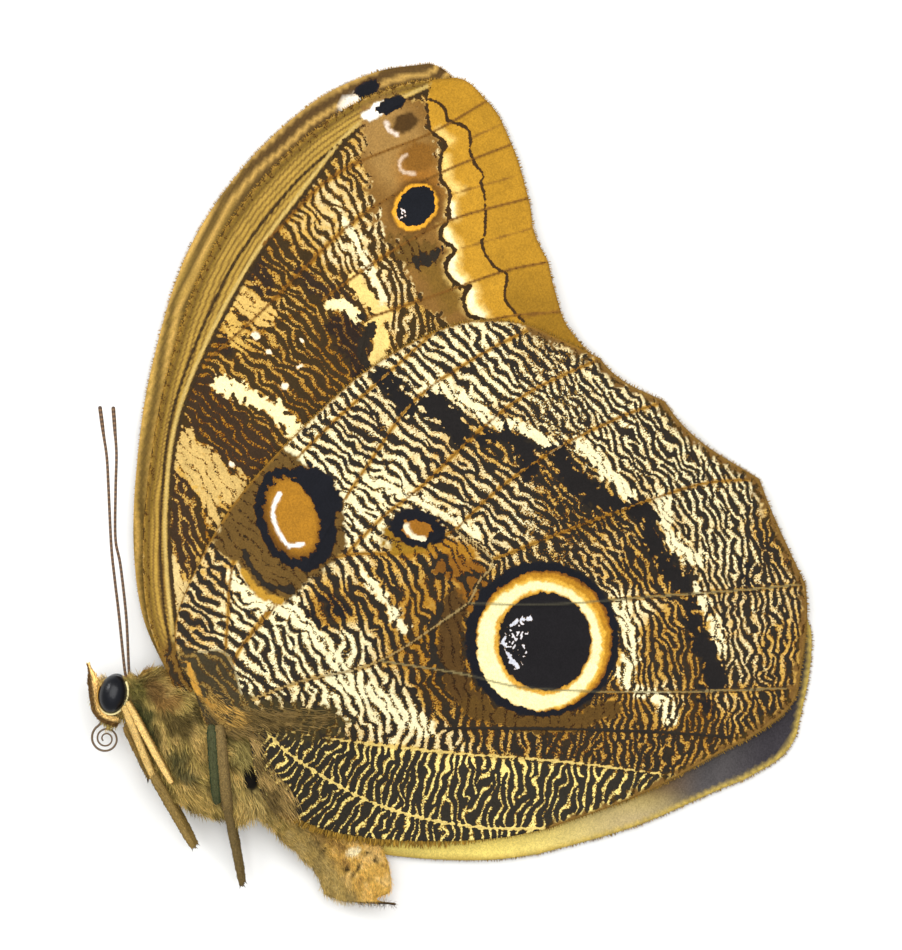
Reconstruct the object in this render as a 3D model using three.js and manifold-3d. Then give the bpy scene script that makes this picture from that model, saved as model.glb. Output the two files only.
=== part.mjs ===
// An owl butterfly, life size, as a dried specimen lying on its right side with its wings closed.
// Millimetres. +X runs from the head towards the hindwing's outer edge, +Y from the body towards the
// forewing's tip, and +Z is up, through the animal from its right side to its left.
// Sizes are laid out from the forewing's hinge, and the finished group is then centred on its box.
import * as THREE from "three";
import { mergeVertices } from "three/addons/utils/BufferGeometryUtils.js";
import Module from "manifold-3d";

const wasm = await Module();
wasm.setup();

// Driving sizes
const FOREWING_LENGTH = 79.5; // hinge to tip, and every plan position below scales with it
const DRAWN_LENGTH = 79.5; // the length that those positions were laid out at
const BODY_HEIGHT = 5.6; // the body's middle plane over the floor
const GAP = 0.3; // between touching nodes
const MEMBRANE = 0.5; // thickness of a wing between its veins
const VEIN_RISE = 0.2; // how far a vein stands out of the wing's outer face
const VEIN_HALF_WIDTH = 0.45;
const OUTLINE_STEP = 2.6;
const VEIN_STEP = 3.8;
const FILL_STEP = 6;

const SCALE = FOREWING_LENGTH / DRAWN_LENGTH;
const plan = ([x, y]) => new THREE.Vector2(x * SCALE, y * SCALE);
const smooth = (low, high, value) => THREE.MathUtils.smoothstep(value, low, high);

// Solids

function solid(geometry) {
  const bare = new THREE.BufferGeometry()
    .setAttribute("position", geometry.getAttribute("position"))
    .setIndex(geometry.index);
  const merged = mergeVertices(bare, 1e-4);
  return new wasm.Manifold(
    new wasm.Mesh({
      numProp: 3,
      vertProperties: merged.attributes.position.array,
      triVerts: new Uint32Array(merged.index.array),
    }),
  );
}

const largest = (shape) =>
  shape.decompose().reduce((a, b) => (b.volume() > a.volume() ? b : a));

function geometryOf(shape) {
  const mesh = shape.getMesh();
  return new THREE.BufferGeometry()
    .setAttribute("position", new THREE.BufferAttribute(mesh.vertProperties, 3))
    .setIndex(new THREE.BufferAttribute(mesh.triVerts, 1));
}

// An ellipsoid whose long axis is turned by a plan angle in degrees.
function ellipsoid(centre, [along, across, halfWidth], angle, segments, grow = 0) {
  const ball = new THREE.SphereGeometry(1, segments, Math.round(segments * 0.6));
  ball.rotateX(Math.PI / 2);
  ball.scale(along + grow, across + grow, halfWidth + grow);
  ball.rotateZ(THREE.MathUtils.degToRad(angle));
  ball.translate(...centre);
  return solid(ball);
}

// A limb along a curve: half is its half-thickness in plan and tall its half-thickness in Z, both by t.
function limb(points, half, tall, steps, sides) {
  const path = new THREE.CatmullRomCurve3(points.map((p) => new THREE.Vector3(...p)));
  const tube = new THREE.CylinderGeometry(1, 1, 1, sides, steps);
  const position = tube.getAttribute("position");
  const up = new THREE.Vector3(0, 0, 1);
  for (let i = 0; i < position.count; i++) {
    const t = THREE.MathUtils.clamp(0.5 - position.getY(i), 0, 1);
    const tangent = path.getTangentAt(t);
    const side = tangent.clone().cross(up).normalize();
    const rise = side.clone().cross(tangent).normalize();
    const at = path
      .getPointAt(t)
      .addScaledVector(side, -position.getX(i) * half(t))
      .addScaledVector(rise, -position.getZ(i) * tall(t));
    position.setXYZ(i, at.x, at.y, at.z);
  }
  const made = solid(tube);
  return made.volume() < 0 ? solid(flipped(tube)) : made;
}

function flipped(geometry) {
  const index = geometry.index.array;
  for (let i = 0; i < index.length; i += 3)
    [index[i + 1], index[i + 2]] = [index[i + 2], index[i + 1]];
  return geometry;
}

// Wing plans: each vein is the line of points that it follows, from where it branches to the margin.

const FOREWING = {
  hinge: [2.4, -0.6],
  leading: [[-2.2, -2.8], [-4, 1.7], [-6.6, 8.4], [-7.4, 16.8], [-6.7, 26.4], [-4.6, 37.8],
    [0, 51.2], [6.8, 61.2], [15.6, 69.1], [23.4, 72.7], [30, 73.6]],
  veins: {
    subcosta: [[-3.6, 3], [-5, 12], [-5.2, 22], [-3.6, 34.5], [2.5, 49.5], [10, 60], [17, 66.5]],
    radius: [[-2.6, 3], [-3.8, 12], [-4.2, 22], [-2.5, 34], [4.2, 48.5], [12.6, 60.5], [19.4, 68.2],
      [30, 73.6]],
    radius_5: [[6.9, 53.5], [15.6, 61.9], [27, 66.9], [33.8, 70.8]],
    media_1: [[0.1, 39.4], [6.8, 45.5], [18, 56.4], [28, 62], [36.8, 65.6]],
    media_2: [[14, 46.8], [21.6, 52.2], [29.4, 56.4], [38.8, 59.1]],
    media_3: [[19.4, 44.6], [27, 47.2], [35.6, 50.2], [41.2, 51.4]],
    cubitus_1: [[17.8, 37], [26, 41.5], [35, 44.6], [42.7, 45.4]],
    cubitus_2: [[13.4, 25.5], [26, 34.8], [36, 39.3], [46, 40.6]],
    anal: [[3.4, 1.4], [16.8, 14], [31, 25.5], [42.6, 33.6], [47.8, 35.8]],
    cell_front: [[1.2, 3], [0.2, 22], [0.1, 39.4], [6.6, 43], [14, 46.8]],
    cell_back: [[2.4, 3], [7.4, 14.5], [13.4, 25.5], [17.8, 37], [19.4, 44.6]],
    cell_end: [[14, 46.8], [16.8, 45.2], [19.4, 44.6]],
  },
  // The outer margin runs through these vein ends, sagging inwards (+) or outwards (-) between them.
  margin: [[30, 73.6], [33.8, 70.8], [36.8, 65.6], [38.8, 59.1], [39.3, 55.7], [41.2, 51.4],
    [42.7, 45.4], [46, 40.6], [47.8, 35.8]],
  sags: [-0.5, -0.35, -0.15, -0.1, 0.15, 0.1, 0.35, -0.4],
  trailing: [[47.8, 35.8], [45, 32.6], [35.5, 26.2], [21, 15], [9, 4.4], [4.6, -0.6], [1.4, -4]],
};

const HINDWING = {
  hinge: [2.4, -0.6],
  leading: [[0.2, -3.6], [-1.2, 0.6], [-2.8, 3.4], [-3.4, 6.4], [-3, 9.6], [-1.4, 13.6], [1, 18.4],
    [4.2, 23.3], [8.5, 28.2], [13.8, 33.5], [19.2, 38.2], [25.8, 42.2], [31.8, 44.2], [37.8, 44],
    [42.6, 42.1], [47.4, 39.8]],
  veins: {
    subcosta: [[2.6, 2], [2.9, 8.4], [3.6, 15.6], [7, 23], [13.8, 30.6], [20.6, 36.8], [28, 43.4]],
    radial: [[4.6, 5.4], [11.4, 13.8], [15.6, 21], [19.8, 27.4], [25.2, 34.8], [33, 40.2], [39.2, 43.4]],
    media_1: [[16.8, 16.2], [21.6, 21], [25.8, 24.3], [33, 31.2], [39, 35.8], [47.4, 39.8]],
    media_2: [[30, 19.2], [35.4, 24.3], [42.6, 29.2], [50.4, 33], [55.2, 34.6]],
    media_3: [[34.4, 15.6], [42, 18.6], [52.2, 22.4], [60, 24.8], [66.6, 25.3]],
    cubitus_1: [[31.6, 10.4], [42, 10.3], [54, 11.2], [64.8, 12], [72.1, 12.7]],
    cubitus_2: [[21, 3.6], [30.6, 2], [39, 0.2], [54, -0.3], [71.3, 0.2]],
    fold: [[28.2, -4.6], [42, -4.7], [54, -5.1], [65.4, -5.9]],
    anal_1: [[6.6, -3.8], [15, -5.6], [28, -7.4], [42.6, -8.6], [56.8, -10.4]],
    anal_2: [[6.4, -3.4], [11.4, -8.2], [21, -13.8], [31.8, -16.4], [41.2, -16.7]],
    cell_front: [[3, 1], [4.6, 5.4], [11.4, 13.8], [16.8, 16.2], [24, 16.6], [30, 19.2]],
    cell_back: [[4.4, -1.4], [11.4, 1.2], [21, 3.6], [31.6, 10.4]],
    cell_end: [[30, 19.2], [34.4, 15.6], [33, 13.2], [31.6, 10.4]],
  },
  margin: [[47.4, 39.8], [55.2, 34.6], [66.6, 25.3], [72.1, 12.7], [71.3, 0.2], [65.4, -5.9],
    [56.8, -10.4], [41.2, -16.7]],
  sags: [0.7, 1, 0.2, -0.5, -0.9, 0.1, -0.4],
  trailing: [[41.2, -16.7], [35.4, -17.8], [28.2, -18.2], [21, -17.9], [15, -16.8], [10.9, -15.1],
    [7.6, -13.2], [6.2, -9.6], [5.4, -5.4], [3, -5]],
};

// How each of the four wings is laid: its height over the floor, its side of the body, and how far it
// is turned about the hinge, in degrees, past its near neighbour.
const WINGS = {
  hindwing_right: { plan: HINDWING, layer: 0.45, side: -1, turn: -4.2, slide: [0, -0.4] },
  forewing_right: { plan: FOREWING, layer: 1.45, side: -1, turn: 2.1, slide: [-0.6, 0.8] },
  forewing_left: { plan: FOREWING, layer: 2.25, side: 1, turn: 0, slide: [0, 0] },
  hindwing_left: { plan: HINDWING, layer: 3.25, side: 1, turn: 0, slide: [0, 0] },
};
const ROOT_LIFT = { 1: 5.9, "-1": 1.6 }; // the wings of each side rise this far to meet the thorax
const LIFT_REACH = [5, 60]; // distances from the hinge between which that rise dies away
// Past the hindwings the forewings settle by one layer, from and to these distances from the hinge.
const TIP_SETTLE = { drop: 1, from: 57, to: 76 };
const TAIL_SETTLE = { drop: 1.6, towards: [0.6, -0.8], from: 4, to: 24 }; // so does the near hindwing's rear
const BELLY = { at: [8.4, -12], rise: 2.4, reach: 10 }; // where it passes over the abdomen

function wingHeight(name, point) {
  const { plan: shape, layer, side } = WINGS[name];
  const hinge = plan(shape.hinge);
  const distance = point.distanceTo(hinge) / SCALE;
  const spent = THREE.MathUtils.clamp(
    (distance - LIFT_REACH[0]) / (LIFT_REACH[1] - LIFT_REACH[0]), 0, 1);
  let height = layer + ROOT_LIFT[side] * (1 - spent) ** 3;
  if (shape === FOREWING) {
    const tip = plan(FOREWING.margin[0]).normalize();
    height -= TIP_SETTLE.drop * smooth(TIP_SETTLE.from, TIP_SETTLE.to, point.dot(tip) / SCALE);
  }
  if (name === "hindwing_left") {
    const rearwards = point.dot(new THREE.Vector2(...TAIL_SETTLE.towards)) / SCALE;
    height -= TAIL_SETTLE.drop * smooth(TAIL_SETTLE.from, TAIL_SETTLE.to, rearwards);
    const near = point.distanceTo(plan(BELLY.at)) / SCALE / BELLY.reach;
    height += BELLY.rise * Math.exp(-near * near);
  }
  return height;
}

// Points a fixed step apart along a smooth line through the given ones.
function along(points, step) {
  const line = new THREE.SplineCurve(points.map(plan));
  const count = Math.max(2, Math.round(line.getLength() / step));
  return line.getSpacedPoints(count);
}

function scallops(margin, sags, step) {
  const line = [];
  margin.slice(1).forEach((end, i) => {
    const a = plan(margin[i]);
    const b = plan(end);
    const chord = b.clone().sub(a);
    const inwards = new THREE.Vector2(chord.y, -chord.x).normalize();
    const count = Math.max(2, Math.round(chord.length() / step));
    for (let k = 0; k < count; k++) {
      const t = k / count;
      const sag = sags[i] * SCALE * Math.sin(Math.PI * t ** 0.75) ** 1.2;
      line.push(a.clone().addScaledVector(chord, t).addScaledVector(inwards, sag));
    }
  });
  return line;
}

function outlineOf(shape) {
  return [
    ...along(shape.leading, OUTLINE_STEP).slice(0, -1),
    ...scallops(shape.margin, shape.sags, OUTLINE_STEP),
    ...along(shape.trailing, OUTLINE_STEP),
  ];
}

function inside(point, outline) {
  let within = false;
  outline.forEach((a, i) => {
    const b = outline[(i + 1) % outline.length];
    if (a.y > point.y !== b.y > point.y &&
      point.x < ((b.x - a.x) * (point.y - a.y)) / (b.y - a.y) + a.x)
      within = !within;
  });
  return within;
}

// The points of a wing's plan, each with its rise: the outline, the veins with a foot on both sides,
// and a loose hexagonal fill between them.
function wingPoints(shape, outline) {
  const kept = outline.map((at) => ({ at, rise: 0 }));
  const add = (at, rise, room) => {
    if (inside(at, outline) && kept.every((k) => k.at.distanceTo(at) > room)) kept.push({ at, rise });
  };
  const lines = Object.values(shape.veins).map((points) => along(points, VEIN_STEP));
  for (const line of lines)
    line.forEach((at, i) => add(at, VEIN_RISE * (1 - 0.5 * (i / line.length)), 0.7));
  for (const line of lines)
    line.forEach((at, i) => {
      const next = line[Math.min(i + 1, line.length - 1)];
      const last = line[Math.max(i - 1, 0)];
      const across = new THREE.Vector2(last.y - next.y, next.x - last.x).normalize();
      for (const way of [-1, 1])
        add(at.clone().addScaledVector(across, way * VEIN_HALF_WIDTH), 0, 0.4);
    });
  const box = new THREE.Box2().setFromPoints(outline);
  const row = (FILL_STEP * Math.sqrt(3)) / 2;
  for (let j = 0, y = box.min.y; y < box.max.y; j++, y += row)
    for (let x = box.min.x + (j % 2) * FILL_STEP * 0.5; x < box.max.x; x += FILL_STEP)
      add(new THREE.Vector2(x, y), 0, FILL_STEP * 0.42);
  return kept;
}

// Delaunay triangles of plan points, each point added in turn to the triangles it falls in the circle of.
function delaunay(points) {
  const far = 1e4;
  const all = [...points, new THREE.Vector2(-far, -far), new THREE.Vector2(far, -far),
    new THREE.Vector2(0, far)];
  const circle = (a, b, c) => {
    const [p, q, r] = [all[a], all[b], all[c]];
    const d = 2 * (p.x * (q.y - r.y) + q.x * (r.y - p.y) + r.x * (p.y - q.y));
    const [pp, qq, rr] = [p.lengthSq(), q.lengthSq(), r.lengthSq()];
    const x = (pp * (q.y - r.y) + qq * (r.y - p.y) + rr * (p.y - q.y)) / d;
    const y = (pp * (r.x - q.x) + qq * (p.x - r.x) + rr * (q.x - p.x)) / d;
    return { corners: [a, b, c], x, y, square: (p.x - x) ** 2 + (p.y - y) ** 2 };
  };
  const n = points.length;
  let triangles = [circle(n, n + 1, n + 2)];
  for (let i = 0; i < n; i++) {
    const edges = new Map();
    const { x, y } = all[i];
    triangles = triangles.filter((t) => {
      if ((x - t.x) ** 2 + (y - t.y) ** 2 >= t.square) return true;
      t.corners.forEach((a, k) => {
        const b = t.corners[(k + 1) % 3];
        if (!edges.delete(b + " " + a)) edges.set(a + " " + b, [a, b]);
      });
      return false;
    });
    for (const [a, b] of edges.values()) triangles.push(circle(a, b, i));
  }
  return triangles.map((t) => t.corners).filter((t) => t.every((k) => k < n));
}

// A wing as one closed body. extra thickens it on both faces, to cut room for it out of a neighbour.
function wing(name, extra = 0) {
  const { plan: shape, side, turn, slide } = WINGS[name];
  const outline = outlineOf(shape);
  const points = wingPoints(shape, outline);
  const flat = points.map((p) => p.at);
  const triangles = delaunay(flat).filter(([a, b, c]) =>
    inside(flat[a].clone().add(flat[b]).add(flat[c]).divideScalar(3), outline));
  const hinge = plan(shape.hinge);
  const shift = plan(slide);
  const count = points.length;
  const positions = new Float32Array(count * 6);
  points.forEach(({ at, rise }, i) => {
    const laid = at.clone().rotateAround(hinge, THREE.MathUtils.degToRad(turn)).add(shift);
    const middle = wingHeight(name, laid);
    const half = MEMBRANE / 2 + extra;
    positions.set([laid.x, laid.y, middle + half + (side > 0 ? rise : 0)], i * 3);
    positions.set([laid.x, laid.y, middle - half - (side < 0 ? rise : 0)], (count + i) * 3);
  });
  const faces = [];
  const rim = new Map();
  for (const [a, b, c] of triangles) {
    faces.push(a, b, c, count + a, count + c, count + b);
    for (const [p, q] of [[a, b], [b, c], [c, a]])
      if (!rim.delete(q + " " + p)) rim.set(p + " " + q, [p, q]);
  }
  for (const [p, q] of rim.values()) faces.push(p, count + p, count + q, p, count + q, q);
  const geometry = new THREE.BufferGeometry()
    .setAttribute("position", new THREE.BufferAttribute(positions, 3))
    .setIndex(faces);
  const made = solid(geometry);
  return made.volume() < 0 ? solid(flipped(geometry)) : made;
}

// Body

const THORAX = { centre: [0.84, -6.24], size: [10.4, 8.3, 4.3], angle: -40 };
const COLLAR = { centre: [-5.6, -0.9], size: [3.9, 3.7, 2.9], angle: -8 };
const HEAD = { centre: [-10.9, -0.6], size: [2.7, 2.9, 2.5], angle: -70 };
const EYE = { centre: [-10.8, -0.3], size: [2.35, 1.7, 1.7], angle: 78, out: 1.75 };

const levelled = ([x, y], z = BODY_HEIGHT) => [x * SCALE, y * SCALE, z];
const sized = (sizes) => sizes.map((s) => s * SCALE);

function bodyBall({ centre, size, angle }, segments, grow = 0, z = BODY_HEIGHT) {
  return ellipsoid(levelled(centre, z), sized(size), angle, segments, grow);
}

const thorax = (grow = 0) =>
  bodyBall(THORAX, 28, grow).add(bodyBall(COLLAR, 20, grow));

// The thorax's half-width at a plan point, which never falls to nothing past its edge.
function flank([x, y]) {
  const angle = THREE.MathUtils.degToRad(THORAX.angle);
  const out = new THREE.Vector2(x - THORAX.centre[0], y - THORAX.centre[1]).rotateAround(
    new THREE.Vector2(), -angle);
  const used = (out.x / THORAX.size[0]) ** 2 + (out.y / THORAX.size[1]) ** 2;
  return THORAX.size[2] * Math.sqrt(Math.max(0.2, 1 - used));
}

const eyeBall = (side, grow = 0) =>
  bodyBall(EYE, 16, grow, BODY_HEIGHT + side * EYE.out * SCALE);

function head() {
  const skull = bodyBall(HEAD, 22);
  return largest(skull.subtract(thorax(GAP)).subtract(eyeBall(1, GAP)).subtract(eyeBall(-1, GAP)));
}

// Labial palps rise in front of the face, either side of the coiled tongue.
const PALP = {
  path: [[-11.6, -3.9], [-13, -3.2], [-13.6, 0], [-13.9, 3.2]],
  out: 1.15,
  half: 0.62,
};

const palp = (side) => {
  const points = PALP.path.map((p, i) => levelled(p, BODY_HEIGHT + side * (PALP.out - 0.08 * i)));
  const taper = (t) => PALP.half * (1 - 0.72 * smooth(0.55, 1, t));
  return largest(limb(points, taper, (t) => 0.8 * taper(t), 10, 8).subtract(bodyBall(HEAD, 22, GAP)));
};

// Antennae: long, thin, barely clubbed, and laid side by side.
const ANTENNAE = {
  left: {
    path: [[-9.5, 2], [-9.4, 6], [-10.2, 13.2], [-11, 20.4], [-10.8, 30], [-11.1, 34]],
    out: 0.9,
    drift: 1.2,
  },
  right: {
    path: [[-9.7, 2], [-10, 6], [-10.6, 13.2], [-11.4, 20.4], [-11.7, 29.4], [-12.5, 34]],
    out: -0.9,
    drift: -1.4,
  },
};
const ANTENNA_HALF = 0.25;
const CLUB_HALF = 0.34;

function antenna(side) {
  const { path, out, drift } = ANTENNAE[side];
  const points = path.map((p, i) => levelled(p, BODY_HEIGHT + out + (drift * i) / path.length));
  const half = (t) =>
    ANTENNA_HALF + (CLUB_HALF - ANTENNA_HALF) * smooth(0.8, 0.93, t) - 0.16 * smooth(0.95, 1, t);
  return largest(limb(points, half, half, 26, 6).subtract(bodyBall(HEAD, 22, GAP)));
}

// The tongue is a watch spring that leaves the face between the palps.
const TONGUE = {
  mouth: [-11.7, -2.9],
  centre: [-11.75, -5.6],
  outer: 1.95,
  inner: 0.55,
  turns: 2.1,
  start: 104,
  half: 0.26,
  steps: 26,
};

function tongue() {
  const points = [levelled(TONGUE.mouth)];
  for (let i = 0; i <= TONGUE.steps; i++) {
    const t = i / TONGUE.steps;
    const angle = THREE.MathUtils.degToRad(TONGUE.start + 360 * TONGUE.turns * t);
    const radius = THREE.MathUtils.lerp(TONGUE.outer, TONGUE.inner, t ** 0.8);
    points.push(levelled([
      TONGUE.centre[0] + radius * Math.cos(angle), TONGUE.centre[1] + radius * Math.sin(angle)]));
  }
  const half = (t) => TONGUE.half - 0.06 * smooth(0.9, 1, t);
  return largest(limb(points, half, half, 44, 6).subtract(bodyBall(HEAD, 22, GAP)));
}

// Legs: thigh and shin lie folded side by side from the knee, and the foot hangs clear below the body.
// The forelegs are the short brush-footed ones, tucked in between the middle pair.
const LEGS = {
  foreleg: {
    thigh: [[-9.3, -4], [-7.2, -7]],
    shin: [[-9.4, -4.4], [-7.7, -8]],
    foot: [[-7.8, -7.8], [-6.6, -10.4]],
    halves: [0.36, 0.34, 0.3],
    out: 0.95,
  },
  midleg: {
    thigh: [[-9.1, -1.3], [-4, -10.6]],
    shin: [[-9.3, -1.8], [-5.9, -10.3]],
    foot: [[-6.1, -10], [-1.2, -18.4]],
    halves: [0.5, 0.55, 0.62],
  },
  hindleg: {
    thigh: [[1, -3.8], [1.6, -13]],
    shin: [[1.8, -3.8], [3, -14.6]],
    foot: [[2.9, -14.2], [4.6, -23]],
    halves: [0.5, 0.66, 0.55],
  },
};
const LEG_TALL = 0.5; // half the depth of a flattened leg
const FORELEG_TALL = 0.34;
const CLAW_SPREAD = 0.3;
const LEG_STEPS = 5;
const LEG_SIDES = 6;

function leg(kind, side) {
  const { thigh, shin, foot, halves, out } = LEGS[kind];
  const deep = out ? FORELEG_TALL : LEG_TALL;
  const placed = (p) => levelled(p, BODY_HEIGHT + side * SCALE * (out ?? flank(p) + GAP + LEG_TALL));
  const part = ([a, b], halfStart, halfEnd, tall = deep) => {
    const points = [0, 0.25, 0.5, 0.75, 1].map((t) =>
      placed([a[0] + (b[0] - a[0]) * t, a[1] + (b[1] - a[1]) * t]));
    const blunt = (t) => 1 - 0.3 * (2 * t - 1) ** 6;
    const half = (t) => (halfStart + (halfEnd - halfStart) * t) * blunt(t);
    return limb(points, half, (t) => tall * blunt(t), LEG_STEPS, LEG_SIDES);
  };
  const toe = foot[1];
  let made = part(thigh, halves[0], halves[0])
    .add(part(shin, halves[1] * 0.9, halves[1]))
    .add(part([thigh[0], shin[0]], 0.45, 0.45))
    .add(part(foot, halves[2], halves[2] * 0.6));
  for (const way of [-1, 1])
    made = made.add(part([toe, [toe[0] + 0.15 + way * CLAW_SPREAD, toe[1] - 0.6]], 0.3, 0.16, 0.3));
  const nearWing = wing(side > 0 ? "hindwing_left" : "hindwing_right", GAP);
  return largest(made.subtract(thorax(GAP)).subtract(bodyBall(HEAD, 22, GAP)).subtract(nearWing));
}

// The abdomen is a flattened barrel of ring segments, cut square at its dried end.
const ABDOMEN = {
  path: [[4.8, -9.4], [9.6, -13.6], [14.2, -19.4], [17.8, -25.7]],
  halves: [2.4, 4, 4.3, 4.3],
  talls: [2.1, 2.7, 2.5, 1.4],
  height: 4.1,
  segments: 7,
  flap: [[16.4, -25.7], [19.6, -26], [23.1, -25.9]], // a dried strip of the last segment
};

function between(list, t) {
  const at = t * (list.length - 1);
  const i = Math.min(Math.floor(at), list.length - 2);
  return THREE.MathUtils.lerp(list[i], list[i + 1], at - i);
}

function abdomen() {
  const points = ABDOMEN.path.map((p, i) =>
    levelled(p, THREE.MathUtils.lerp(BODY_HEIGHT, ABDOMEN.height, smooth(0, 2, i))));
  const ring = (t) => 1 - 0.05 * Math.abs(Math.cos(Math.PI * ABDOMEN.segments * t)) ** 6;
  const barrel = limb(points, (t) => between(ABDOMEN.halves, t) * ring(t),
    (t) => between(ABDOMEN.talls, t) * ring(t), 26, 16);
  const flap = limb(ABDOMEN.flap.map((p) => levelled(p, ABDOMEN.height)),
    (t) => 0.5 - 0.3 * t, (t) => 0.9 - 0.6 * t, 6, 6);
  return largest(barrel.add(flap)
    .subtract(thorax(GAP))
    .subtract(wing("hindwing_left", GAP))
    .subtract(wing("hindwing_right", GAP)));
}

// Materials and the finished group

const MATERIALS = {
  wing: { color: 0x8a6a34, roughness: 0.75, metalness: 0 },
  hindwing: { color: 0x6e5630, roughness: 0.75, metalness: 0 },
  fur: { color: 0x7a6432, roughness: 0.95, metalness: 0 },
  eye: { color: 0x1b1d26, roughness: 0.25, metalness: 0 },
  limb: { color: 0x7d6438, roughness: 0.8, metalness: 0 },
  horn: { color: 0x4b3326, roughness: 0.5, metalness: 0 },
};

const group = new THREE.Group();

function place(name, shape, material) {
  const mesh = new THREE.Mesh(geometryOf(shape), new THREE.MeshStandardMaterial(MATERIALS[material]));
  mesh.name = name;
  group.add(mesh);
}

place("thorax", largest(thorax().subtract(eyeBall(1, GAP)).subtract(eyeBall(-1, GAP))), "fur");
place("head", head(), "fur");
place("abdomen", abdomen(), "fur");
place("proboscis", tongue(), "horn");
for (const [side, sign] of [["left", 1], ["right", -1]]) {
  place("eye_" + side, eyeBall(sign), "eye");
  place("palp_" + side, palp(sign), "limb");
  place("antenna_" + side, antenna(side), "horn");
  for (const kind of Object.keys(LEGS)) place(kind + "_" + side, leg(kind, sign), "limb");
  place("forewing_" + side, largest(wing("forewing_" + side).subtract(thorax(GAP))), "wing");
  place("hindwing_" + side, largest(wing("hindwing_" + side).subtract(thorax(GAP))), "hindwing");
}

const box = new THREE.Box3().setFromObject(group);
const middle = box.getCenter(new THREE.Vector3());
group.position.set(-middle.x, -middle.y, -box.min.z);

export default group;
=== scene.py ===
# %% [markdown]
# # An owl butterfly, dried, lying on its side
#
# This scene dresses a plain solid model of an owl butterfly as a museum specimen. It lies on its
# right side with closed wings, and the camera looks straight down on it. The outlines are smooth
# curves through a few points, and functions paint the markings on the wings' own vertices.

# %% Load the solid model
import math

import bmesh
import bpy
import numpy as np
from mathutils import Matrix, Vector
from mathutils.geometry import delaunay_2d_cdt


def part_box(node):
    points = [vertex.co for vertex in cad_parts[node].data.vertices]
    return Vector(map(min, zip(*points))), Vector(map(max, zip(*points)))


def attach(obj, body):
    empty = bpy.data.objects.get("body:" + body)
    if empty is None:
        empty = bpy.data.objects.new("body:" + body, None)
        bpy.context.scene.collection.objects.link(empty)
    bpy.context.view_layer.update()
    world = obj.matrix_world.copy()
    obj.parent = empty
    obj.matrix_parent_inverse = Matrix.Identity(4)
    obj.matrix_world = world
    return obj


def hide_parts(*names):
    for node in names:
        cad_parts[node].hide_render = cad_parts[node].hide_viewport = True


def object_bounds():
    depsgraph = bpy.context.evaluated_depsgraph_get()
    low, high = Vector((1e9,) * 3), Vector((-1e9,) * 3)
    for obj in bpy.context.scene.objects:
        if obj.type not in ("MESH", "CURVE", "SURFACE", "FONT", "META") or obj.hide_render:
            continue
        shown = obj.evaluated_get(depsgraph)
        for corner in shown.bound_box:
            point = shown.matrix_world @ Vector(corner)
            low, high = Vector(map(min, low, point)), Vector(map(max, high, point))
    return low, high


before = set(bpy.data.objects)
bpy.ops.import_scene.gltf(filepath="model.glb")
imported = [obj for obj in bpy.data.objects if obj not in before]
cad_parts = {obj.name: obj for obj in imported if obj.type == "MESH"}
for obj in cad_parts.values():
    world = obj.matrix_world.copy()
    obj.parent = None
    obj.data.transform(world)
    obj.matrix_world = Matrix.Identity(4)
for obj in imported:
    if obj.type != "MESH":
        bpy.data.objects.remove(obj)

CAD_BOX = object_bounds()
print("solid model, lowest and highest corner:", CAD_BOX)

# %% [markdown]
# ## One drawing plane
#
# All places are in millimetres on a drawing plane: the origin is the forewing's hinge, x runs
# towards the hindwing's outer edge and y towards the forewing's tip. The left eye of the solid
# model says where that plane lies, so a piece put on the drawing sits on what carries it.

# %% From the drawing plane to metres
MM = 0.001
EYE_ON_PLAN = np.array([-10.8, -0.3, 7.35])
ORIGIN = np.mean(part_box("eye_left"), axis=0) / MM - EYE_ON_PLAN
print("the drawing's origin in the frame, in mm:", ORIGIN.round(2))


def smooth(low, high, value):
    """0 up to low, 1 from high on and a soft step between."""
    t = np.clip((value - low) / (high - low), 0, 1)
    return t * t * (3 - 2 * t)


def fade(low, high, value):
    return 1 - smooth(low, high, value)


def spline(points, step):
    """Points about a step apart on a smooth curve through the given ones, in any dimension."""
    p = np.array(points, float)
    p = np.vstack([2 * p[0] - p[1], p, 2 * p[-1] - p[-2]])
    dense = []
    for a, b, c, d in zip(p[:-3], p[1:-2], p[2:-1], p[3:]):
        t = np.linspace(0, 1, 16, endpoint=False)[:, None]
        tail = 2 * a - 5 * b + 4 * c - d
        dense.append(b + 0.5 * t * (c - a + t * (tail + t * (3 * (b - c) + d - a))))
    dense = np.vstack(dense + [p[-2][None]])
    run = np.concatenate([[0], np.cumsum(np.linalg.norm(np.diff(dense, axis=0), axis=1))])
    at = np.linspace(0, run[-1], max(2, int(round(run[-1] / step)) + 1))
    return np.stack([np.interp(at, run, dense[:, k]) for k in range(dense.shape[1])], axis=1)


def line_distance(x, y, points):
    """How far each place is from a polyline, and how far along it the nearest point lies."""
    best, along, run = np.full(x.shape, 1e9), np.zeros(x.shape), 0.0
    for (ax, ay), (bx, by) in zip(points[:-1], points[1:]):
        dx, dy = bx - ax, by - ay
        length = math.hypot(dx, dy)
        t = np.clip(((x - ax) * dx + (y - ay) * dy) / length**2, 0, 1)
        gap = np.hypot(x - ax - t * dx, y - ay - t * dy)
        closer = gap < best
        best = np.where(closer, gap, best)
        along = np.where(closer, run + t * length, along)
        run += length
    return best, along / run


def within(x, y, outline):
    """True for the places inside a closed outline."""
    inside = np.zeros(x.shape, bool)
    for (ax, ay), (bx, by) in zip(outline, np.roll(outline, -1, axis=0)):
        if ay != by:
            inside ^= ((ay > y) != (by > y)) & (x < (bx - ax) * (y - ay) / (by - ay) + ax)
    return inside


def depth(x, y, outline):
    """Distance from a closed outline, above 0 inside it and below 0 outside."""
    gap, _ = line_distance(x, y, np.vstack([outline, outline[:1]]))
    return np.where(within(x, y, outline), gap, -gap)


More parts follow.
